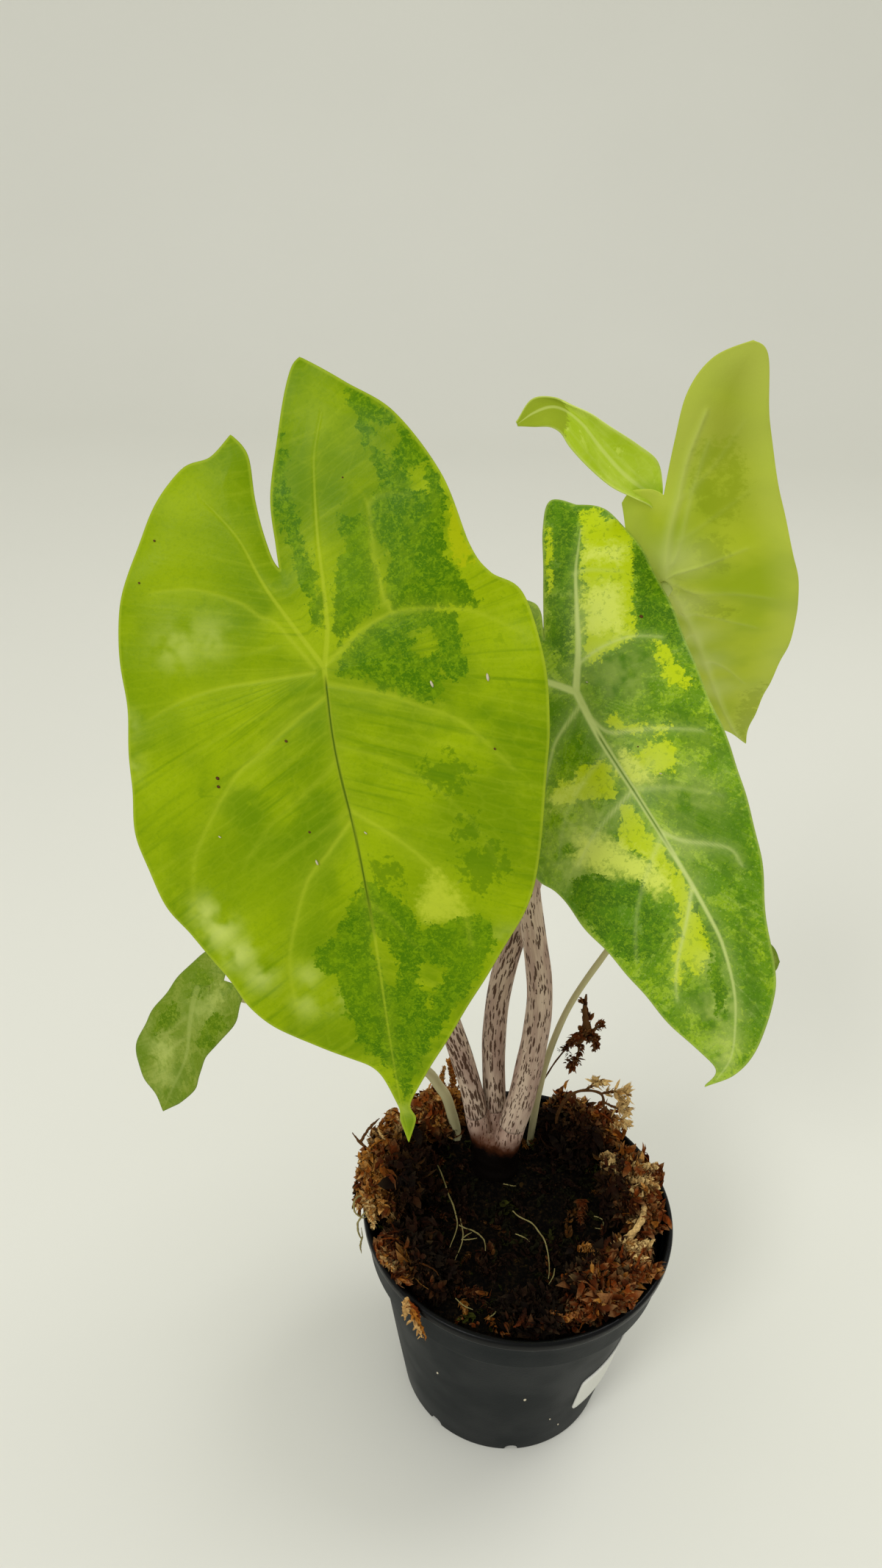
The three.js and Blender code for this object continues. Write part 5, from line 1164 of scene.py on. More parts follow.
def pot_profile():
    """The pot's section, from the axis under the floor, round the lip and back to the axis."""
    p = POT
    lip_low, foot, lip = p.height - p.lip_height, p.base - p.foot, p.lip_width / 2
    floor_top, edge = p.recess + p.floor, p.bevel
    return np.array([
        (0, p.recess), (p.hub - 1, p.recess), (foot - 1.2, p.recess), (foot - 0.5, p.recess - 0.4),
        *arc((foot + 0.5, 0.4), 0.4, 180, 270, 4), *arc((p.base - edge, edge), edge, 270, 360, 6),
        (wall_radius(20), 20), (wall_radius(40), 40),
        (p.body_top - 0.05, p.collar_low - 1.4), (p.body_top + 0.25, p.collar_low - 0.9),
        (p.collar - 0.6, p.collar_low - 0.15), *arc((p.collar - 0.5, p.collar_low + 0.45), 0.5, 300, 360, 4),
        (p.collar + p.flare * 0.6, p.collar_low + 6), (p.collar + p.flare, lip_low - 0.3),
        (p.collar + p.flare + 0.1, lip_low + 0.1), (p.rim - 0.5, lip_low + 0.35),
        *arc((p.rim - 0.6, lip_low + 0.95), 0.6, 300, 360, 4),
        *arc((p.rim - lip, p.height - lip), lip, 0, 180, 14),
        (p.rim - p.lip_width - 0.15, lip_low + 1.2), (p.collar - 0.8, lip_low - 0.6),
        (COLLAR_INSIDE, p.collar_low + 0.8), (p.body_top - p.wall, p.collar_low - 1.4),
        (p.base - p.wall - 0.4, floor_top + 0.8), (p.base - p.wall - 1.4, floor_top), (0, floor_top),
    ])


def finer(profile, longest):
    """The profile with its long stretches divided."""
    rows = [profile[:1]]
    for a, b in zip(profile[:-1], profile[1:]):
        count = max(1, int(np.linalg.norm(b - a) // longest))
        rows.append(a + (b - a) * np.linspace(0, 1, count + 1)[1:, None])
    return np.vstack(rows)


def lathe(profile, segments):
    """A turned solid whose profile starts and ends on the axis."""
    turn = np.linspace(0, 2 * pi, segments, endpoint=False)
    radius, level = profile[1:-1, :1], profile[1:-1, 1:]
    rings = np.stack([radius * np.cos(turn), radius * np.sin(turn), level + 0 * turn], axis=-1)
    return capped(rings, (0, 0, profile[0, 1]), (0, 0, profile[-1, 1]))


def apply_modifiers(piece):
    """Bakes the piece's modifiers into its mesh."""
    ready = piece.evaluated_get(bpy.context.evaluated_depsgraph_get())
    mesh = bpy.data.meshes.new_from_object(ready)
    piece.modifiers.clear()
    piece.data = mesh


def build_pot(settings):
    """The turned pot, with drain notches cut through its foot ring."""
    piece = new_object("nursery_pot", *lathe(finer(pot_profile(), 3.0), 192), [MATERIALS["pot"]])
    half, high = POT.drain_width / 2, POT.drain_height
    outline = [(-half, -2), *arc((0, high - half), half, 180, 0, 8), (half, -2)]
    n = len(outline)
    sides = [(j, j + n, (j + 1) % n + n, (j + 1) % n) for j in range(n)]
    caps = [(0, j + 1, j) for j in range(1, n - 1)] + [(n, n + j, n + j + 1) for j in range(1, n - 1)]
    notches = Pile()
    for i in range(settings.drains):
        turn = 2 * pi * (i + POT.drain_turn) / settings.drains
        points = [(x * cos(turn) - y * sin(turn), x * sin(turn) + y * cos(turn), z)
                  for x in (POT.drain_inner, POT.base + 4) for y, z in outline]
        notches.put(points, [np.array(sides)[:, ::-1], np.array(caps)[:, ::-1]])
    cutter = notches.build("drain_cutter", "pot")
    cut = piece.modifiers.new("Drains", "BOOLEAN")
    cut.object, cut.operation, cut.solver = cutter, "DIFFERENCE", "EXACT"
    apply_modifiers(piece)
    bpy.data.objects.remove(cutter)
    piece.data.shade_smooth()
    sharp = piece.modifiers.new("Keen edges", "EDGE_SPLIT")
    sharp.split_angle = radians(38)
    apply_modifiers(piece)
    dress(piece, "pot", "pot")


def build_label():
    """A thin blank sheet bent round the wall, with rounded corners."""
    columns, rows = 60, 9
    share = (1 - np.cos(np.linspace(0, pi, columns))) / 2
    turn = np.radians(LABEL.start + (LABEL.stop - LABEL.start) * share)
    width = wall_radius(28) * radians(LABEL.stop - LABEL.start)
    short = np.maximum(LABEL.corner - np.minimum(share, 1 - share) * width, 0)
    inset = LABEL.corner - np.sqrt(LABEL.corner ** 2 - short ** 2)
    low, high = LABEL.low + inset, LABEL.high - inset
    z = low + (high - low) * np.linspace(0, 1, rows)[:, None] + LABEL.rise * share
    pile, faces = Pile(), grid_faces(rows, columns)
    for out, sheet in ((0.05, faces[:, ::-1]), (LABEL.thick + 0.2, faces)):
        r = wall_radius(z) + out
        pile.put(np.stack([r * np.cos(turn), r * np.sin(turn), z], axis=-1).reshape(-1, 3), sheet)
    n = rows * columns
    ring = np.array([*range(columns), *range(2 * columns - 1, n, columns),
                     *range(n - 2, n - columns - 1, -1), *range(n - 2 * columns, 0, -columns)])
    after = np.roll(ring, -1)
    pile.faces[4].append(np.stack([ring, after, after + n, ring + n], axis=1))
    dress(pile.build("blank_sticker", "label"), "label", "pot_label")


# Soil

def soil_top(r, turn):
    lumps = (np.sin(3 * turn + 0.6) * 0.5 + np.sin(0.31 * r + 2 * turn) * 0.45
             + np.sin(0.55 * r - 5 * turn + 1.1) * 0.35)
    return SOIL.level + SOIL.lump * lumps + SOIL.crown * (1 - (r / SOIL.radius) ** 2)


def soil_under(points):
    """The soil's level under each point."""
    return soil_top(from_axis(points), np.arctan2(points[..., 1], points[..., 0]))


def build_soil():
    """Crumbly peat with an uneven top, down to the pot's floor."""
    turn = np.linspace(0, 2 * pi, SOIL.segments, endpoint=False)
    r, t = np.meshgrid(SOIL.radius * np.linspace(0, 1, SOIL.rings + 1)[1:], turn, indexing="ij")
    x, y = r * np.cos(t), r * np.sin(t)
    rough = [noise.fractal(Vector((a * 0.45, b * 0.45, 0)), 0.9, 2.1, 5) for a, b in zip(x.flat, y.flat)]
    top = np.stack([x, y, soil_top(r, t) + 0.9 * np.reshape(rough, r.shape)], axis=-1)
    inside = [(SOIL.radius, POT.collar_low + 1.6), (POT.body_top - POT.wall - 0.4, POT.collar_low - 1.8),
              (POT.base - POT.wall - 1.5, POT.recess + POT.floor + 0.3)]
    wall = [np.stack([radius * np.cos(turn), radius * np.sin(turn), level + 0 * turn], axis=1)
            for radius, level in inside]
    points, faces = capped(np.concatenate([top, wall]), (0, 0, soil_top(0, 0)), (0, 0, inside[-1][1]))
    piece = new_object("peat", points, [f[:, ::-1] for f in faces], [MATERIALS["soil"]])
    dress(piece, "soil", "soil")


# Leaf blades

def blade_frame(leaf):
    n = unit(np.array(leaf.facing, float))
    v = np.array(leaf.down, float)
    v = unit(v - (v @ n) * n)
    return np.array(leaf.at, float), np.cross(n, v), v, n


def on_blade(leaf, u, v):
    """The blade's middle surface at flat places, in the part's frame."""
    at, along_u, along_v, n = blade_frame(leaf)
    heights = np.multiply.outer(leaf.relief(u, v), n)
    return at + np.multiply.outer(u, along_u) + np.multiply.outer(v, along_v) + heights


def blade_normal(leaf, u, v, step=0.05):
    across = on_blade(leaf, u + step, v) - on_blade(leaf, u - step, v)
    down = on_blade(leaf, u, v + step) - on_blade(leaf, u, v - step)
    return unit(np.cross(down, across))


def loft(leaf):
    """The flat blade: rows from the ribs to the margin. Gives points, triangles and flow."""
    rib_steps, fan_steps, mid_steps = (n * leaf.fine for n in leaf.split)
    crease, columns = leaf.crease * leaf.fine, leaf.columns
    total = rib_steps + fan_steps + mid_steps
    midrib = spline(leaf.midrib)
    steps, inner_steps = np.arange(total + 1), np.arange(rib_steps + 1)
    on_rib = steps <= rib_steps
    on_midrib = np.clip((steps - rib_steps - fan_steps) / mid_steps, 0, 1)
    along = np.where(on_rib, 1 - steps / rib_steps, on_midrib)
    sheets = []
    for rib, margin in ((leaf.right_rib, leaf.right), (leaf.left_rib, leaf.left)):
        root = np.where(on_rib[:, None], polyline_at(spline(rib), along), polyline_at(midrib, along))
        edge = polyline_at(spline(margin), steps / total)
        sheets.append((root, edge, np.linspace(0, 1, columns + 1) ** 1.3, steps))
    start, sinus = np.array(leaf.midrib[0], float), np.array(leaf.sinus, float)
    for rib, inner in ((leaf.right_rib, leaf.right_inner), (leaf.left_rib, leaf.left_inner)):
        root = polyline_at(spline(rib), inner_steps / rib_steps)
        on_crease = start + (sinus - start) * np.clip(inner_steps / crease, 0, 1)[:, None]
        free = polyline_at(spline(inner), np.clip((inner_steps - crease) / (rib_steps - crease), 0, 1))
        edge = np.where((inner_steps <= crease)[:, None], on_crease, free)
        sheets.append((root, edge, np.linspace(0, 1, columns // 2 + 1) ** 1.2, inner_steps[::-1]))
    pile = Pile()
    for root, edge, shares, order in sheets:
        flat = root[:, None] + (edge - root)[:, None] * shares[None, :, None]
        rows = order[:, None] + 0 * shares
        length = np.linalg.norm(edge - root, axis=1)[:, None] * shares
        flow = np.stack([rows * 0.6, length, 0 * rows], axis=-1).reshape(-1, 3)
        pile.put(flat.reshape(-1, 2), grid_faces(len(root), len(shares)), flow=flow)
    points, quads = np.vstack(pile.points), np.vstack(pile.faces[4])
    _, first, merged = np.unique(np.round(points, 3), axis=0, return_index=True, return_inverse=True)
    quads, points = merged.reshape(-1)[quads], points[first]
    flow = np.concatenate(pile.fields["flow"])[first]
    triangles = np.vstack([quads[:, [0, 1, 2]], quads[:, [0, 2, 3]]])
    triangles = triangles[(triangles != np.roll(triangles, -1, axis=1)).all(axis=1)]
    p, q, r = (points[triangles[:, k]] for k in range(3))
    area = (q[:, 0] - p[:, 0]) * (r[:, 1] - p[:, 1]) - (q[:, 1] - p[:, 1]) * (r[:, 0] - p[:, 0])
    triangles = np.where((area < 0)[:, None], triangles, triangles[:, [0, 2, 1]])[np.abs(area) > 1e-7]
    return points, triangles, flow


def vein_height(points, lines, start, end):
    """How strongly veins show at each point: a ridge that narrows from its root to its end."""
    height = np.zeros(len(points))
    for line in lines:
        gap, place = line_distance(points, spline(line, 8))
        width = start + (end - start) * place
        height = np.maximum(height, np.exp(-(gap / width) ** 2) * (1 - 0.55 * place))
    return height


def seam(points, leaf):
    """The dark hairline along the sunken part of the midrib, a painted shadow in its groove."""
    gap, place = line_distance(points, spline(leaf.main_veins[0], 8))
    start, end = leaf.seam
    shown = np.clip((place - start) * 40, 0, 1) * np.clip((end - place) * 12, 0, 1)
    return np.exp(-(gap / 0.24) ** 2) * shown


def clouds(points, spots):
    """Soft clouds, each given by its place, radius and strength."""
    total = np.zeros(len(points))
    for a, b, radius, strength in spots:
        gap = np.hypot(points[:, 0] - a, points[:, 1] - b)
        total = np.maximum(total, strength * np.exp(-(gap / radius) ** 2))
    return total


def boundary(triangles):
    """Directed edges that only one triangle uses."""
    edges = np.vstack([triangles[:, [0, 1]], triangles[:, [1, 2]], triangles[:, [2, 0]]]).astype(np.int64)
    size = triangles.max() + 1
    return edges[~np.isin(edges[:, 0] * size + edges[:, 1], edges[:, 1] * size + edges[:, 0])]


def blade_shape(leaf, settings):
    """A blade with its veins in relief: points, faces, sides and the values that the finish reads."""
    flat, triangles, flow = loft(leaf)
    u, v = flat.T
    margins = (leaf.right, leaf.left, leaf.right_inner, leaf.left_inner)
    edge = np.min([line_distance(flat, spline(line))[0] for line in margins], axis=0)
    main, side = (vein_height(flat, lines, *widths)
                  for lines, widths in zip((leaf.main_veins, leaf.side_veins), leaf.vein_widths))
    faint = vein_height(flat, leaf.faint_veins, 0.6, 0.4)
    glow = vein_height(flat, leaf.main_veins + leaf.side_veins, 2.6, 1.2)
    near = np.min([line_distance(flat, spline(line, 6))[0] for line in leaf.side_veins], axis=0)
    quilt = 0.35 * (1 - np.exp(-(near / 3.5) ** 2)) * np.clip(edge / 5, 0, 1)
    lift = quilt + 0.35 * np.sin(flow[:, 0] * 0.32) * np.exp(-edge / 3)
    surface, normal = on_blade(leaf, u, v), blade_normal(leaf, u, v)
    body = np.clip(edge / 2.5, 0, 1)
    thick = settings.thickness / MM * (0.55 + 0.45 * body)
    relief = settings.vein_relief / MM
    upper = thick / 2 + lift - relief * (0.5 * main + 0.45 * side + 0.25 * faint)
    lower = -thick / 2 + lift - relief * (3.2 * main ** 0.7 * body + 1.1 * side + 0.6 * faint)
    count = len(flat)
    points = np.vstack([surface + normal * upper[:, None], surface + normal * lower[:, None]])
    rim = boundary(triangles)
    a, b = rim.T
    outward = unit(np.cross(points[b] - points[a], normal[a]))
    middle = (points[a] + points[a + count]) / 2 + outward * 0.12
    place = np.full(count, -1)
    place[a] = 2 * count + np.arange(len(rim))
    closing = np.vstack([np.stack([b, a, place[a], place[b]], axis=1),
                         np.stack([place[b], place[a], a + count, b + count], axis=1)])
    faces = [np.vstack([triangles, triangles[:, ::-1] + count]), closing]
    slots = np.repeat([0, 1, 0, 1], [len(triangles), len(triangles), len(rim), len(rim)])
    values = {
        "blade": np.stack([u, v, 0 * u], axis=1), "flow": flow, "edge": edge, "rib": main,
        "vein": np.clip(0.85 * side + 0.4 * faint + 0.3 * glow, 0, 1), "seam": seam(flat, leaf),
        # Soft spots of painted sheen, and of painted light on the upper face that is painted shade on the
        # underside.
        "haze": clouds(flat, leaf.haze), "sun": clouds(flat, leaf.sun),
        "dark": np.minimum(field(flat, leaf.dark), -field(flat, leaf.islands)),
        "faint": field(flat, leaf.faint_dark), "gold": field(flat, leaf.gold),
        "cream": field(flat, leaf.cream),
    }
    values = {key: np.concatenate([x, x, x[a]]) for key, x in values.items()}
    return np.vstack([points, middle]), faces, slots, values


def lobe_shape():
    """The upper leaf's rolled right lobe: a channelled strip that twists out to its own tip."""
    places = np.linspace(0, 1, LOBE.steps + 1)
    top, rib, low = (polyline_at(route(line), places) for line in (LOBE.upper, LOBE.rib, LOBE.lower))
    share = np.linspace(-1, 1, LOBE.across + 1)[None, :, None]
    bow = rib - (top + low) / 2
    surface = (top + low)[:, None] / 2 + (low - top)[:, None] / 2 * share + bow[:, None] * (1 - share ** 2)
    normal = unit(np.cross(np.gradient(surface, axis=0), np.gradient(surface, axis=1)))
    half = LOBE.thick / 2 * (1 - 0.6 * np.abs(share) ** 4)
    rows, columns = surface.shape[:2]
    count = rows * columns
    points = np.vstack([(surface + normal * half).reshape(-1, 3), (surface - normal * half).reshape(-1, 3)])
    quads = grid_faces(rows, columns)
    triangles = np.vstack([quads[:, [0, 1, 2]], quads[:, [0, 2, 3]]])
    rim = boundary(triangles)
    closing = np.stack([rim[:, 1], rim[:, 0], rim[:, 0] + count, rim[:, 1] + count], axis=1)
    slots = np.repeat([0, 1, 0], [len(triangles), len(triangles), len(rim)])
    across, along = np.tile(share.ravel(), rows), np.repeat(places, columns)
    blade = np.stack([across * 7 + 60, along * 45, 0 * along], axis=1)
    values = {"blade": blade, "flow": blade, "edge": (1 - np.abs(across)) * 7,
              "rib": np.exp(-(across / 0.12) ** 2), "gold": (along - 0.74) * 45}
    values = {key: np.concatenate([x, x]) for key, x in values.items()}
    values.update(vein=0, seam=0, haze=0, sun=0, dark=-FIELD_REACH, faint=-FIELD_REACH, cream=-FIELD_REACH)
    return points, [np.vstack([triangles, triangles[:, ::-1] + count]), closing], slots, values


def build_leaf(name, leaf, face, slot, settings, extra):
    """A blade, with any extra shape that belongs to it, as one piece."""
    pile, slots = Pile(), {}
    for points, faces, kinds, values in (blade_shape(leaf, settings), *extra):
        pile.put(points, faces, **values)
        for f in faces:
            slots.setdefault(f.shape[1], []).append(kinds[:len(f)])
            kinds = kinds[len(f):]
    sides = np.concatenate([np.concatenate(slots[key]) for key in pile.faces])
    dress(pile.build(f"blade_{name}", f"{face} underside", slots=sides), slot, f"leaf_{name}")


# Stalks

def stalk_line(spec):
    u, v = (np.array([float(c)]) for c in spec.end)
    end = on_blade(spec.leaf, u, v)[0] - blade_normal(spec.leaf, u, v)[0] * (spec.radii[-1] + 0.2)
    return route([*spec.route, tuple(end)])


def build_stalk(name, spec, thin=False):
    """A stalk; its dashes fade out where it greens towards the blade."""
    points, faces, grain = tube(stalk_line(spec), spec.radii, 20 if thin else 32, 170, wobble=0.012,
                                seed=len(name))
    green = np.clip((grain[:, 2] - grain[:, 2].max() + 16) / 10, 0, 1)
    pile = Pile()
    pile.put(points, faces, grain=grain, dash=spec.dashes * (1 - green), green=green)
    piece = pile.build(f"petiole_{name}", "thin_stalk" if thin else "stalk")
    dress(piece, "pale_stalk" if thin else "stalk", f"stalk_{name}")


def build_stem_base():
    """The stem with a sheath for each thick stalk, joined into one skin."""
    x, y, radius, neck = STEM.x, STEM.y, STEM.radius, STEM.neck
    column = route([(x, y, STEM.low), (x, y, 66), (x - 0.6, y, 76), (x - 1, y, STEM.bend)])
    pile = Pile()
    pile.put(*tube(column, [radius, radius, (radius + neck) / 2, neck], 40, 40, wobble=0.02, seed=3)[:2])
    for spec in (STALKS["front"], STALKS["upper"], STALKS["long"]):
        start, ahead = np.array(spec.route[:2], float)
        back = unit(start - ahead)
        foot = (x + (start[0] - x) * SHEATH.inset, y + (start[1] - y) * SHEATH.inset, SHEATH.low)
        line = route([foot, start + back * SHEATH.length, start - back * 1.2])
        radii = [SHEATH.radius, spec.radii[0] * 1.06, spec.radii[0] * 0.99]
        pile.put(*tube(line, radii, 32, 24)[:2])
    piece = pile.build("stem_foot", "stem")
    skin = piece.modifiers.new("Joined skin", "REMESH")
    skin.mode, skin.voxel_size, skin.use_smooth_shade = "VOXEL", 0.45 * MM, True
    even = piece.modifiers.new("Even skin", "SMOOTH")
    even.factor, even.iterations = 0.5, 6
    apply_modifiers(piece)
    dress(piece, "stalk", "stem_base")


# Moss, twigs and roots

def node_mesh(name):
    """A CAD node's points in millimetres, its triangles and their areas."""
    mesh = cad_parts[name].data
    mesh.calc_loop_triangles()
    points = np.array([v.co for v in mesh.vertices]) / MM
    triangles = np.array([t.vertices for t in mesh.loop_triangles])
    a, b, c = (points[triangles[:, k]] for k in range(3))
    return points, triangles, np.linalg.norm(np.cross(b - a, c - a), axis=1) / 2


def leaflets(roots, ahead, facing, lengths, widths, curl, random):
    """Small keeled, pointed leaflets of seven points each, and the faces of one."""
    ahead = unit(ahead)
    side = unit(np.cross(ahead, facing))
    up = np.cross(side, ahead)
    length, width, bend = lengths[:, None], widths[:, None], (curl * lengths)[:, None]
    skew = side * width * random.uniform(-0.4, 0.4, (len(roots), 1))
    low = roots + ahead * length * 0.3 + up * bend * 0.1
    high = roots + ahead * length * 0.68 + up * bend * 0.45
    cup = up * width * 0.3
    points = np.stack([
        roots, low - side * width * 0.45 + cup, low, low + side * width * 0.45 + cup,
        high - side * width * 0.36 + cup + skew * 0.5, high + side * width * 0.36 + cup + skew * 0.5,
        roots + ahead * length + up * bend + skew], axis=1)
    return points, np.array([(0, 2, 1), (0, 3, 2), (1, 2, 4), (2, 3, 5), (2, 5, 4), (4, 5, 6)])


def strand(start, ahead, length, random):
    """A wandering line of moss stem."""
    steps = max(4, int(length / 1.2))
    line, heading = [start], unit(ahead)
    drift = random.normal(0, 1, 3)
    for _ in range(steps):
        drift = 0.7 * drift + random.normal(0, 0.7, 3)
        heading = unit(heading + 0.16 * drift)
        line.append(line[-1] + heading * length / steps)
    return np.array(line)


def clothe(pile, line, tone, size, number, random, keep_of, green=0.0, buried=0.0, breadth=(0.35, 0.7)):
    """Covers a line of stem in pointed leaflets, and keeps those that keep_of allows."""
    place = np.sort(random.random(number))
    roots = polyline_at(line, place)
    along = unit(np.gradient(roots, axis=0) + 1e-6)
    lengths = size * (1.15 - 0.45 * place) * random.uniform(0.7, 1.25, number)
    spread = unit(random.normal(0, 1, (number, 3)))
    shape, faces = leaflets(roots, along * 0.85 + spread * random.uniform(0.4, 0.9), spread, lengths,
                            lengths * random.uniform(*breadth, number), random.uniform(-0.3, 0.6, number),
                            random)
    kept = keep_of(shape)
    if not kept.any():
        return
    faces = (faces + np.arange(kept.sum())[:, None, None] * 7).reshape(-1, 3)
    tones = np.clip(tone + random.normal(0, 0.06, number), 0, 1)
    # depth is each leaflet's painted shade, a little varied.
    depth = np.broadcast_to(buried(roots) if callable(buried) else buried, number)
    depth = np.clip(depth + 0.15 * random.random(number), 0, 1)
    tips = np.tile([0, 0.3, 0.2, 0.3, 0.7, 0.7, 1.0], kept.sum())
    pile.put_moss(shape[kept].reshape(-1, 3), faces, np.repeat(tones[kept], 7), tips,
                  np.repeat(depth[kept], 7), green)


def in_pot_or_over_rim(tops):
    """Leaflets that clear the pot's wall: inside it, or above the lip, or outside it."""
    radius = from_axis(tops)
    wall = (radius > COLLAR_INSIDE - 0.5) & (radius < POT.rim + 0.2)
    return ~(wall & (tops[..., 2] < POT.height + 0.25)).any(axis=1)


def shade(spec, spots):
    """How far a place in a tuft lies in shade: low down, and on the side towards the stem."""
    radius = from_axis(spots)
    inward = np.clip((spec.lit_from - radius) / 9, 0, 1)
    low = np.clip((SOIL.level + 7 - spots[..., 2]) / 8, 0, 1)
    return np.clip(0.85 * inward + 0.75 * low * (radius < POT.rim), 0, 1)


def build_clump(name, spec, settings):
    """Dry moss: wandering strands clothed in pointed leaflets, and limp ribbons, over a dark inner shell of
    painted shade.
    """
    random = np.random.default_rng(spec.seed)
    points, triangles, areas = node_mesh(name)
    skin = BVHTree.FromPolygons([Vector(p) for p in points], triangles.tolist())
    low, high = points.min(axis=0) - 0.6, points.max(axis=0) + 0.8
    centre = np.array(spec.at, float)
    pile = Pile()

    def in_box(tops):
        return ((tops > low) & (tops < high)).all(axis=(1, 2)) & (from_axis(tops) < spec.spill).all(axis=1)

    def off_skin(tops):
        return np.array([skin.find_nearest(Vector(p))[3] for p in tops])

    def keep_of(tops):
        return in_box(tops) & (off_skin(tops[:, 6]) < 2.2) & in_pot_or_over_rim(tops)

    def grow_strand(a, b, c):
        s, t = random.random() ** 0.5, random.random()
        spot = a * (1 - s) + b * s * (1 - t) + c * s * t
        outward, normal = unit(spot - centre), unit(np.cross(b - a, c - a))
        ahead = outward * 0.5 + normal * 0.35 + random.normal(0, 0.75, 3)
        length = random.uniform(*STRAND.length)
        line = strand(spot - unit(ahead) * length * 0.55 - outward * 1.2, ahead, length, random)
        # Painted shade: strands in the tuft's shade take a darker tone.
        tone = np.clip(spec.tone * (1 - 0.5 * shade(spec, spot)) + random.normal(0, 0.2), 0, 1)
        bold = random.random() < STRAND.bold_share
        size = settings.leaflet / MM * random.uniform(0.7, 1.2) * (STRAND.bold_size if bold else 1)
        number = int(length * (STRAND.bold_leaflets if bold else STRAND.leaflets))
        clothe(pile, line, tone, size, number, random, keep_of, buried=lambda roots: shade(spec, roots))

    def lay_ribbon(seed, spot):
        outward = unit(spot - centre)
        ahead = random.normal(0, 1, 3) * (1, 1, 0.5) + outward * 0.3
        line = strand(spot + outward * 0.2, ahead, random.uniform(*RIBBON.length), random)
        radii = np.array([0, 1, 0.8, 0.6, 0]) * random.uniform(*RIBBON.girth) + (0.15, 0, 0, 0, 0.12)
        shape, faces, _ = tube(line, radii, 8, 24, wobble=0.3, seed=seed, flat=0.45)
        if off_skin(line).max() > 2.6 or not (in_box(shape[None]) & in_pot_or_over_rim(shape[None]))[0]:
            return
        tone = np.clip(spec.tone * 1.15 + random.normal(0, 0.12), 0, 1)
        pile.put_moss(shape, faces, tone, buried=shade(spec, shape))

    shares = areas / areas.sum()
    for k in random.choice(len(triangles), int(spec.strands * settings.density), p=shares):
        grow_strand(*points[triangles[k]])
    for k in random.choice(len(triangles), spec.ribbons, p=shares):
        lay_ribbon(k, points[triangles[k]].mean(axis=0))
    # Painted shade: a shrunken dark copy of the tuft's shell fills its shaded inside.
    pile.put_moss(centre + (points - centre) * 0.72, triangles, 0.1, buried=0.8)
    piece = pile.build(f"{name}_tuft", "moss", smooth=False)
    dress(piece, "pale_moss" if name == "moss_right" else "moss", name)


def build_loose_moss():
    """Strands strewn over the peat between the tufts, some of them green, dimmed by painted shade away from
    the rim.
    """
    random = np.random.default_rng(31)
    pile = Pile()

    def keep_of(tops):
        stem = from_axis(tops[..., :2] - (STEM.x, STEM.y)) < STEM.radius + 0.6
        inside = (from_axis(tops) < COLLAR_INSIDE - 0.4) & (tops[..., 2] < 75) & ~stem
        return inside.all(axis=1)

    for _ in range(LOOSE_MOSS.strands):
        radius, turn = LOOSE_MOSS.reach * random.random() ** 0.5, random.uniform(0, 2 * pi)
        start = np.array([radius * cos(turn), radius * sin(turn), soil_top(radius, turn) + 0.6])
        ahead = random.normal(0, 1, 3) * (1, 1, 0.16)
        line = strand(start, ahead, random.uniform(*LOOSE_MOSS.length), random)
        line[:, 2] = soil_under(line) + 0.9 + 0.25 * (line[:, 2] - line[0, 2])
        # Painted shade: strands away from the rim are darker, the bright ones less so.
        near_rim = np.clip((radius - 22) / 16, 0, 1)
        bright = random.random() ** 3
        clothe(pile, line, 0.25 + 0.4 * bright, random.uniform(*LOOSE_MOSS.leaflet),
               int(random.uniform(*LOOSE_MOSS.leaflets)), random, keep_of,
               green=float(random.random() < LOOSE_MOSS.green_share) * 0.9,
               buried=0.9 - 0.45 * near_rim - 0.3 * bright)
    dress(pile.build("loose_moss", "moss", smooth=False), "moss")


def build_twig(name, spec):
    """Thin woody stems; a sprig carries pale flaky heads and a dry tuft dark ones."""
    random = np.random.default_rng(len(name))
    shell = node_mesh(name)[0]
    low, high = shell.min(axis=0) - 0.6, shell.max(axis=0) + 0.6
    pile, heads = Pile(), Pile()

    def keep_of(tops):
        return ((tops > low) & (tops < high)).all(axis=(1, 2))

    for i, (points, radii) in enumerate(zip(spec.routes, spec.radii)):
        line = route(points)
        girths = np.multiply(radii, spec.girth)
        shape, faces, grain = tube(line, girths, 10, 12 * len(points), wobble=0.12, seed=i)
        pile.put(shape, faces, grain=grain)
        for _ in range(spec.bunches if i in spec.heads else 0):
            start = line[int(random.uniform(0.1, 0.9) * len(line))]
            ahead = line[-1] - line[0] + random.normal(0, 2.5, 3)
            branch = strand(start, ahead, random.uniform(1.5, 3.5), random)
            tone = np.clip(spec.tone + random.normal(0, 0.1), 0, 1)
            # The heads take the twig's painted shade.
            clothe(heads, branch, tone, random.uniform(*spec.flakes), spec.count, random, keep_of,
                   buried=spec.buried, breadth=spec.breadth)
    dress(pile.build(f"{name}_stems", "dry"), "dry_moss", name)
    dress(heads.build(f"{name}_heads", "moss", smooth=False), "dry_moss")


def build_root(name, spec):
    """A root lying on the peat."""
    plan, r = spline(spec.plan), spec.radius
    line = np.column_stack([plan, soil_under(plan) + r + ROOT_LIFT])
    points, faces, grain = tube(line, [r * 0.4, r * 0.48, r * 0.2], 10, 60, wobble=0.14, seed=5)
    piece = new_object(f"{name}_strand", points, faces, [MATERIALS["root"]], fields={"grain": grain})
    dress(piece, "root", name)


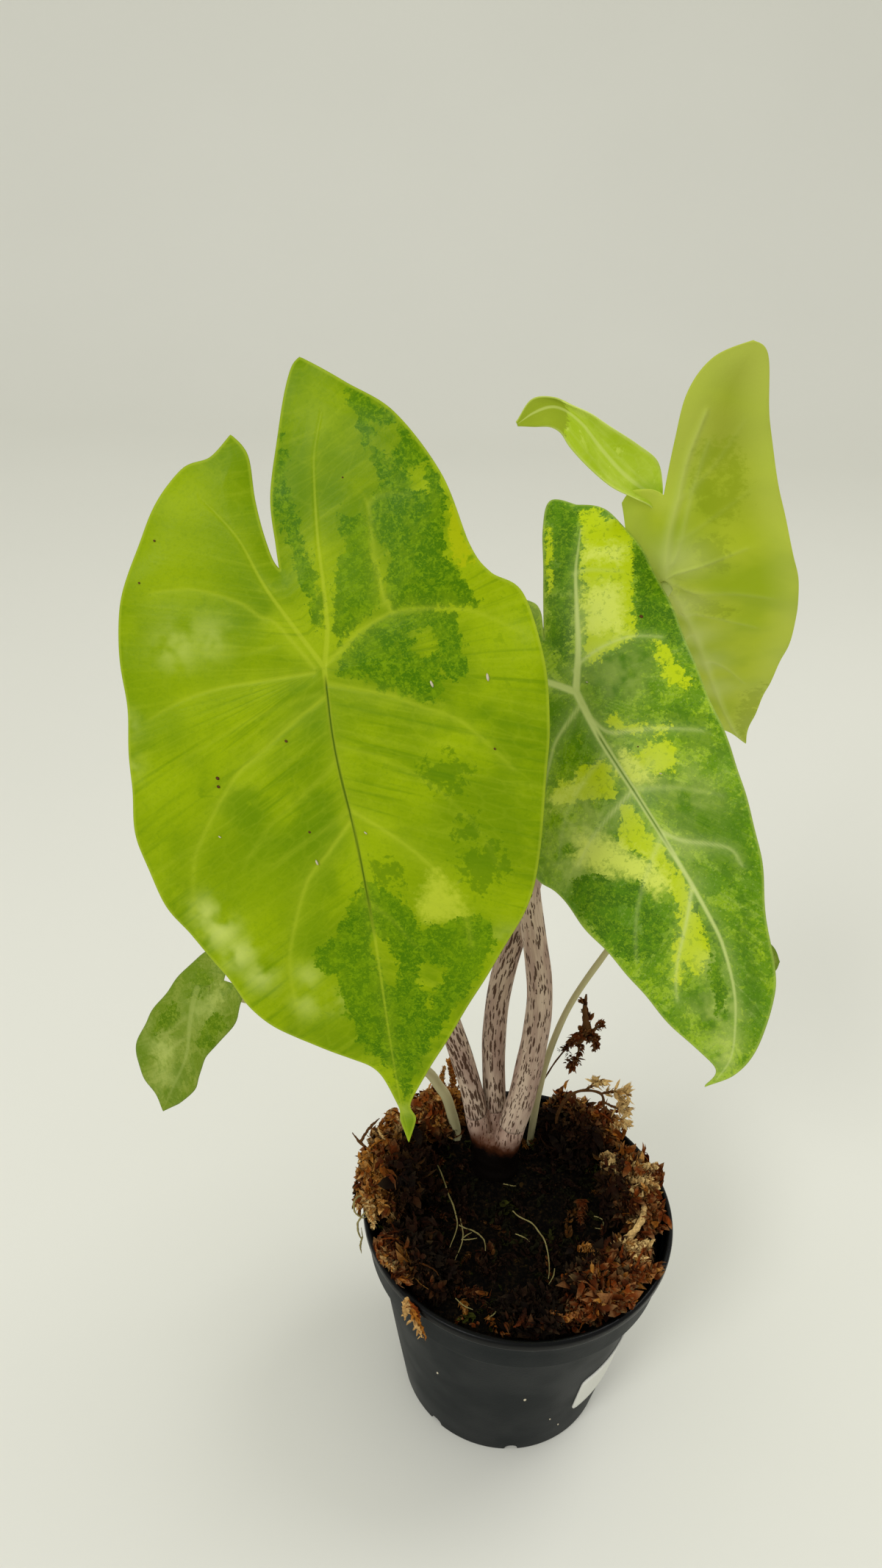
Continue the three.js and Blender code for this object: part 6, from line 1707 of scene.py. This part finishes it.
def build_hair_roots():
    """Hair-thin roots on the peat, a few that curl down outside the rim, and a twig at the left."""
    plans = [spline(plan) for plan in HAIR_ROOTS]
    lines = [np.column_stack([plan, soil_under(plan) + 2.2]) for plan in plans]
    hairs = [(line, 1) for line in lines] + [(route(points), 1.7) for points in RIM_CURLS]
    pile, twigs = Pile(), Pile()
    for i, (line, girth) in enumerate(hairs):
        points, faces, grain = tube(line, [0.14 * girth, 0.18 * girth, 0.08], 7, 40, wobble=0.14, seed=i)
        pile.put(points, faces, grain=grain)
    dress(pile.build("hair_roots", "root"), "root")
    for i, points in enumerate(LEFT_TWIGS):
        shape, faces, grain = tube(route(points), [0.5, 0.4, 0.45, 0.12], 8, 40, wobble=0.14, seed=i)
        twigs.put(shape, faces, grain=grain)
    dress(twigs.build("left_twig", "dry"), "dry_moss")


def build_fronds():
    """Bushy fronds of flat ruffled leaflets on the tufts, and one pale stem."""
    random = np.random.default_rng(53)
    pile = Pile()
    pile.put_moss(*tube(route(PALE_STEM), [0.5, 1, 0.9, 0.8, 0.3], 14, 60, wobble=0.1, seed=9)[:2], 0.9)
    # depth is each frond's painted shade.
    for tone, girth, depth, points in FRONDS:
        line = route(points)
        radii = [girth * share for share in (0.2, 0.45, 0.4, 0.15)]
        pile.put_moss(*tube(line, radii, 9, 24, wobble=0.2)[:2], 0.8 * tone, buried=depth)
        clothe(pile, line, tone, girth * 1.15, int(line_length(line) * 11), random, in_pot_or_over_rim,
               buried=depth, breadth=(0.5, 0.95))
    dress(pile.build("moss_fronds", "moss", smooth=False), "pale_moss")


def build_rim_tuft():
    """The small ruffled tuft that spills over the rim at the front left."""
    random = np.random.default_rng(41)
    pile = Pile()

    def keep_of(tops):
        return ((from_axis(tops) > POT.rim + 0.3) | (tops[..., 2] > POT.height + 0.3)).all(axis=1)

    for i, (tone, girth, points) in enumerate(RIM_FLAKES):
        line = route(points)
        radii = [girth * share for share in (0.3, 1, 0.8, 0.15)]
        pile.put_moss(*tube(line, radii, 12, 40, wobble=0.25, seed=i, flat=0.3)[:2], tone)
        clothe(pile, line, tone, 1.7, 16, random, keep_of, breadth=(0.4, 0.8))
    dress(pile.build("rim_tuft", "moss", smooth=False), "pale_moss")


def speck(at, normal, size, slim):
    """A low rounded crumb lying on a surface."""
    side = unit(np.cross(normal, [0.3, 0.8, 0.5 - size]))
    other = np.cross(normal, side) * slim
    turn = np.linspace(0, 2 * pi, 7, endpoint=False)[:, None]
    rings = [at + size * (radius * (np.cos(turn) * side + np.sin(turn) * other) + high * normal)
             for radius, high in ((1, 0), (0.8, 0.3))]
    return capped(np.array(rings), at - normal * size * 0.2, at + normal * size * 0.5)


def build_specks():
    """Dark specks and pale crumbs on the blades, and a few crumbs on the pot's wall."""
    kinds = (("dark_specks", SPECKS, "dry", 0.5, 0.8, "dry_moss"),
             ("pale_crumbs", CRUMBS, "crumb", 0.62, 0.35, "root"))
    for name, spots, material, lift, slim, slot in kinds:
        pile = Pile()
        for leaf, *place, size in spots:
            u, v = np.array(place, float)[:, None]
            normal = blade_normal(leaf, u, v)[0]
            points, faces = speck(on_blade(leaf, u, v)[0] + normal * lift, normal, size, slim)
            pile.put(points, faces, grain=points)
        for degrees, z, size in POT_CRUMBS if material == "crumb" else ():
            normal = np.array([cos(radians(degrees)), sin(radians(degrees)), 0.0])
            points, faces = speck(normal * wall_radius(z) + (0, 0, z), normal, size, 0.7)
            pile.put(points, faces, grain=points)
        dress(pile.build(name, material), slot)


# Stage

def build_stage(settings):
    """A pale floor that curves up to a backdrop, soft light from above, and the camera."""
    f = FLOOR
    section = [(f.near, 0), *arc((f.back, f.turn), f.turn, -90, 0, 24), (f.back + f.turn, f.top)]
    points = [(x, y, z) for x in (-f.half, f.half) for y, z in section]
    floor = new_object("studio_floor", points, grid_faces(2, len(section)), [MATERIALS["floor"]])
    scene = bpy.context.scene
    add_light("Front softbox", FRONT_BOX, settings.key_power)
    add_light("Overhead softbox", TOP_BOX, settings.top_power)
    world = bpy.data.worlds.new("Studio air")
    world.use_nodes = True
    air = world.node_tree.nodes["Background"].inputs
    air[0].default_value, air[1].default_value = (*settings.air_colour, 1), settings.air_strength
    scene.world = world
    scene.view_settings.view_transform = "Standard"
    camera = bpy.data.cameras.new("Photo camera")
    camera.sensor_fit, camera.sensor_width, camera.sensor_height = "AUTO", CAMERA.sensor, CAMERA.sensor
    camera.lens = CAMERA.focal_px * CAMERA.sensor / max(PHOTO)
    camera.clip_start, camera.clip_end = 0.01, 20
    made = bpy.data.objects.new("Photo camera", camera)
    made.matrix_world = (Matrix.Translation(Vector(CAMERA.at) * MM)
                         @ Matrix.Rotation(pi / 2 - radians(CAMERA.pitch), 4, "X")
                         @ Matrix.Rotation(radians(CAMERA.roll), 4, "Z"))
    scene.collection.objects.link(made)
    scene.camera = made


def add_light(name, spec, power):
    light = bpy.data.lights.new(name, "AREA")
    light.shape, light.size, light.energy = "DISK", spec.size * MM, power
    made = bpy.data.objects.new(name, light)
    made.location = Vector(spec.at) * MM
    made.rotation_euler = (Vector(spec.target) - Vector(spec.at)).to_track_quat("-Z", "Y").to_euler()
    bpy.context.scene.collection.objects.link(made)


# Settings

class PotSettings(PropertyGroup):
    drains: IntProperty(name="Drain notches", description="Notches through the foot ring", default=8, min=3)


class LeafSettings(PropertyGroup):
    thickness: FloatProperty(name="Blade thickness", description="Thickness of a blade between its veins",
                             default=0.5 * MM, unit="LENGTH")
    vein_relief: FloatProperty(name="Vein relief", description="Depth of the groove over the midrib",
                               default=0.3 * MM, unit="LENGTH")


class MossSettings(PropertyGroup):
    density: FloatProperty(name="Density", description="Share of the full number of strands", default=1.0)
    leaflet: FloatProperty(name="Leaflet length", description="Mean length of a moss leaflet",
                           default=3.3 * MM, unit="LENGTH")


class StageSettings(PropertyGroup):
    key_power: FloatProperty(name="Front light", description="Power of the front softbox", default=7.0,
                             unit="POWER")
    top_power: FloatProperty(name="Overhead light", description="Power of the overhead softbox", default=2.4,
                             unit="POWER")
    air_strength: FloatProperty(name="Room light", description="Strength of the light all round",
                                default=0.68)
    air_colour: FloatVectorProperty(name="Room colour", description="Colour of the light all round",
                                    default=(1.0, 0.995, 0.96), subtype="COLOR")


class PlantSettings(PropertyGroup):
    pot: PointerProperty(type=PotSettings, name="Pot", description="Make-up of the pot")
    leaf: PointerProperty(type=LeafSettings, name="Leaf", description="Sizes of the blades")
    moss: PointerProperty(type=MossSettings, name="Moss", description="Make-up of the moss")
    stage: PointerProperty(type=StageSettings, name="Stage", description="Light all round the plant")


# Operators

class ALOCASIA_OT_finishes(Operator):
    """Make the node groups and materials"""
    bl_idname = "alocasia.finishes"
    bl_label = "Finishes"

    def execute(self, context):
        build_materials()
        return {"FINISHED"}


class ALOCASIA_OT_pot(Operator):
    """Turn the pot and lay its blank sticker"""
    bl_idname = "alocasia.pot"
    bl_label = "Pot"

    def execute(self, context):
        build_pot(context.scene.alocasia.pot)
        build_label()
        return {"FINISHED"}


class ALOCASIA_OT_soil(Operator):
    """Fill the pot with crumbly peat"""
    bl_idname = "alocasia.soil"
    bl_label = "Soil"

    def execute(self, context):
        build_soil()
        return {"FINISHED"}


class ALOCASIA_OT_stalks(Operator):
    """Grow the stem base and the five leaf stalks"""
    bl_idname = "alocasia.stalks"
    bl_label = "Stalks"

    def execute(self, context):
        build_stem_base()
        for name, spec in STALKS.items():
            build_stalk(name, spec, thin=name in ("small", "hidden"))
        return {"FINISHED"}


class ALOCASIA_OT_leaves(Operator):
    """Unfold the five leaf blades"""
    bl_idname = "alocasia.leaves"
    bl_label = "Leaves"

    def execute(self, context):
        for name, leaf, face, slot in LEAVES:
            extra = [lobe_shape()] if name == "upper" else []
            build_leaf(name, leaf, face, slot, context.scene.alocasia.leaf, extra)
        return {"FINISHED"}


class ALOCASIA_OT_moss(Operator):
    """Lay the moss tufts round the rim"""
    bl_idname = "alocasia.moss"
    bl_label = "Moss"

    def execute(self, context):
        for name, spec in CLUMPS.items():
            build_clump(name, spec, context.scene.alocasia.moss)
        return {"FINISHED"}


class ALOCASIA_OT_litter(Operator):
    """Add the loose moss, the sprig, the dry tuft, the roots, the fronds and the specks"""
    bl_idname = "alocasia.litter"
    bl_label = "Litter"

    def execute(self, context):
        build_loose_moss()
        for name, spec in TWIGS.items():
            build_twig(name, spec)
        for name, spec in ROOTS.items():
            build_root(name, spec)
        build_hair_roots()
        build_fronds()
        build_rim_tuft()
        build_specks()
        return {"FINISHED"}


class ALOCASIA_OT_stage(Operator):
    """Set the floor, the lights and the camera"""
    bl_idname = "alocasia.stage"
    bl_label = "Stage"

    def execute(self, context):
        build_stage(context.scene.alocasia.stage)
        return {"FINISHED"}


STEPS = (
    ALOCASIA_OT_finishes, ALOCASIA_OT_pot, ALOCASIA_OT_soil, ALOCASIA_OT_stalks, ALOCASIA_OT_leaves,
    ALOCASIA_OT_moss, ALOCASIA_OT_litter, ALOCASIA_OT_stage,
)


class ALOCASIA_PT_panel(Panel):
    """The plant's settings and building steps"""
    bl_idname = "ALOCASIA_PT_panel"
    bl_label = "Potted alocasia"
    bl_space_type = "VIEW_3D"
    bl_region_type = "UI"
    bl_category = "Alocasia"

    def draw(self, context):
        plant = context.scene.alocasia
        for settings in (plant.pot, plant.leaf, plant.moss, plant.stage):
            box = self.layout.box()
            for key in settings.__annotations__:
                box.prop(settings, key)
        for step in STEPS:
            self.layout.operator(step.bl_idname)


CLASSES = (PotSettings, LeafSettings, MossSettings, StageSettings, PlantSettings, *STEPS, ALOCASIA_PT_panel)


def register():
    for cls in CLASSES:
        bpy.utils.register_class(cls)
    bpy.types.Scene.alocasia = PointerProperty(type=PlantSettings)


def unregister():
    del bpy.types.Scene.alocasia
    for cls in reversed(CLASSES):
        bpy.utils.unregister_class(cls)


def main():
    register()
    bpy.ops.alocasia.finishes()
    bpy.ops.alocasia.pot()
    bpy.ops.alocasia.soil()
    bpy.ops.alocasia.stalks()
    bpy.ops.alocasia.leaves()
    bpy.ops.alocasia.moss()
    bpy.ops.alocasia.litter()
    bpy.ops.alocasia.stage()
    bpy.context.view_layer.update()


if __name__ == "__main__":
    main()
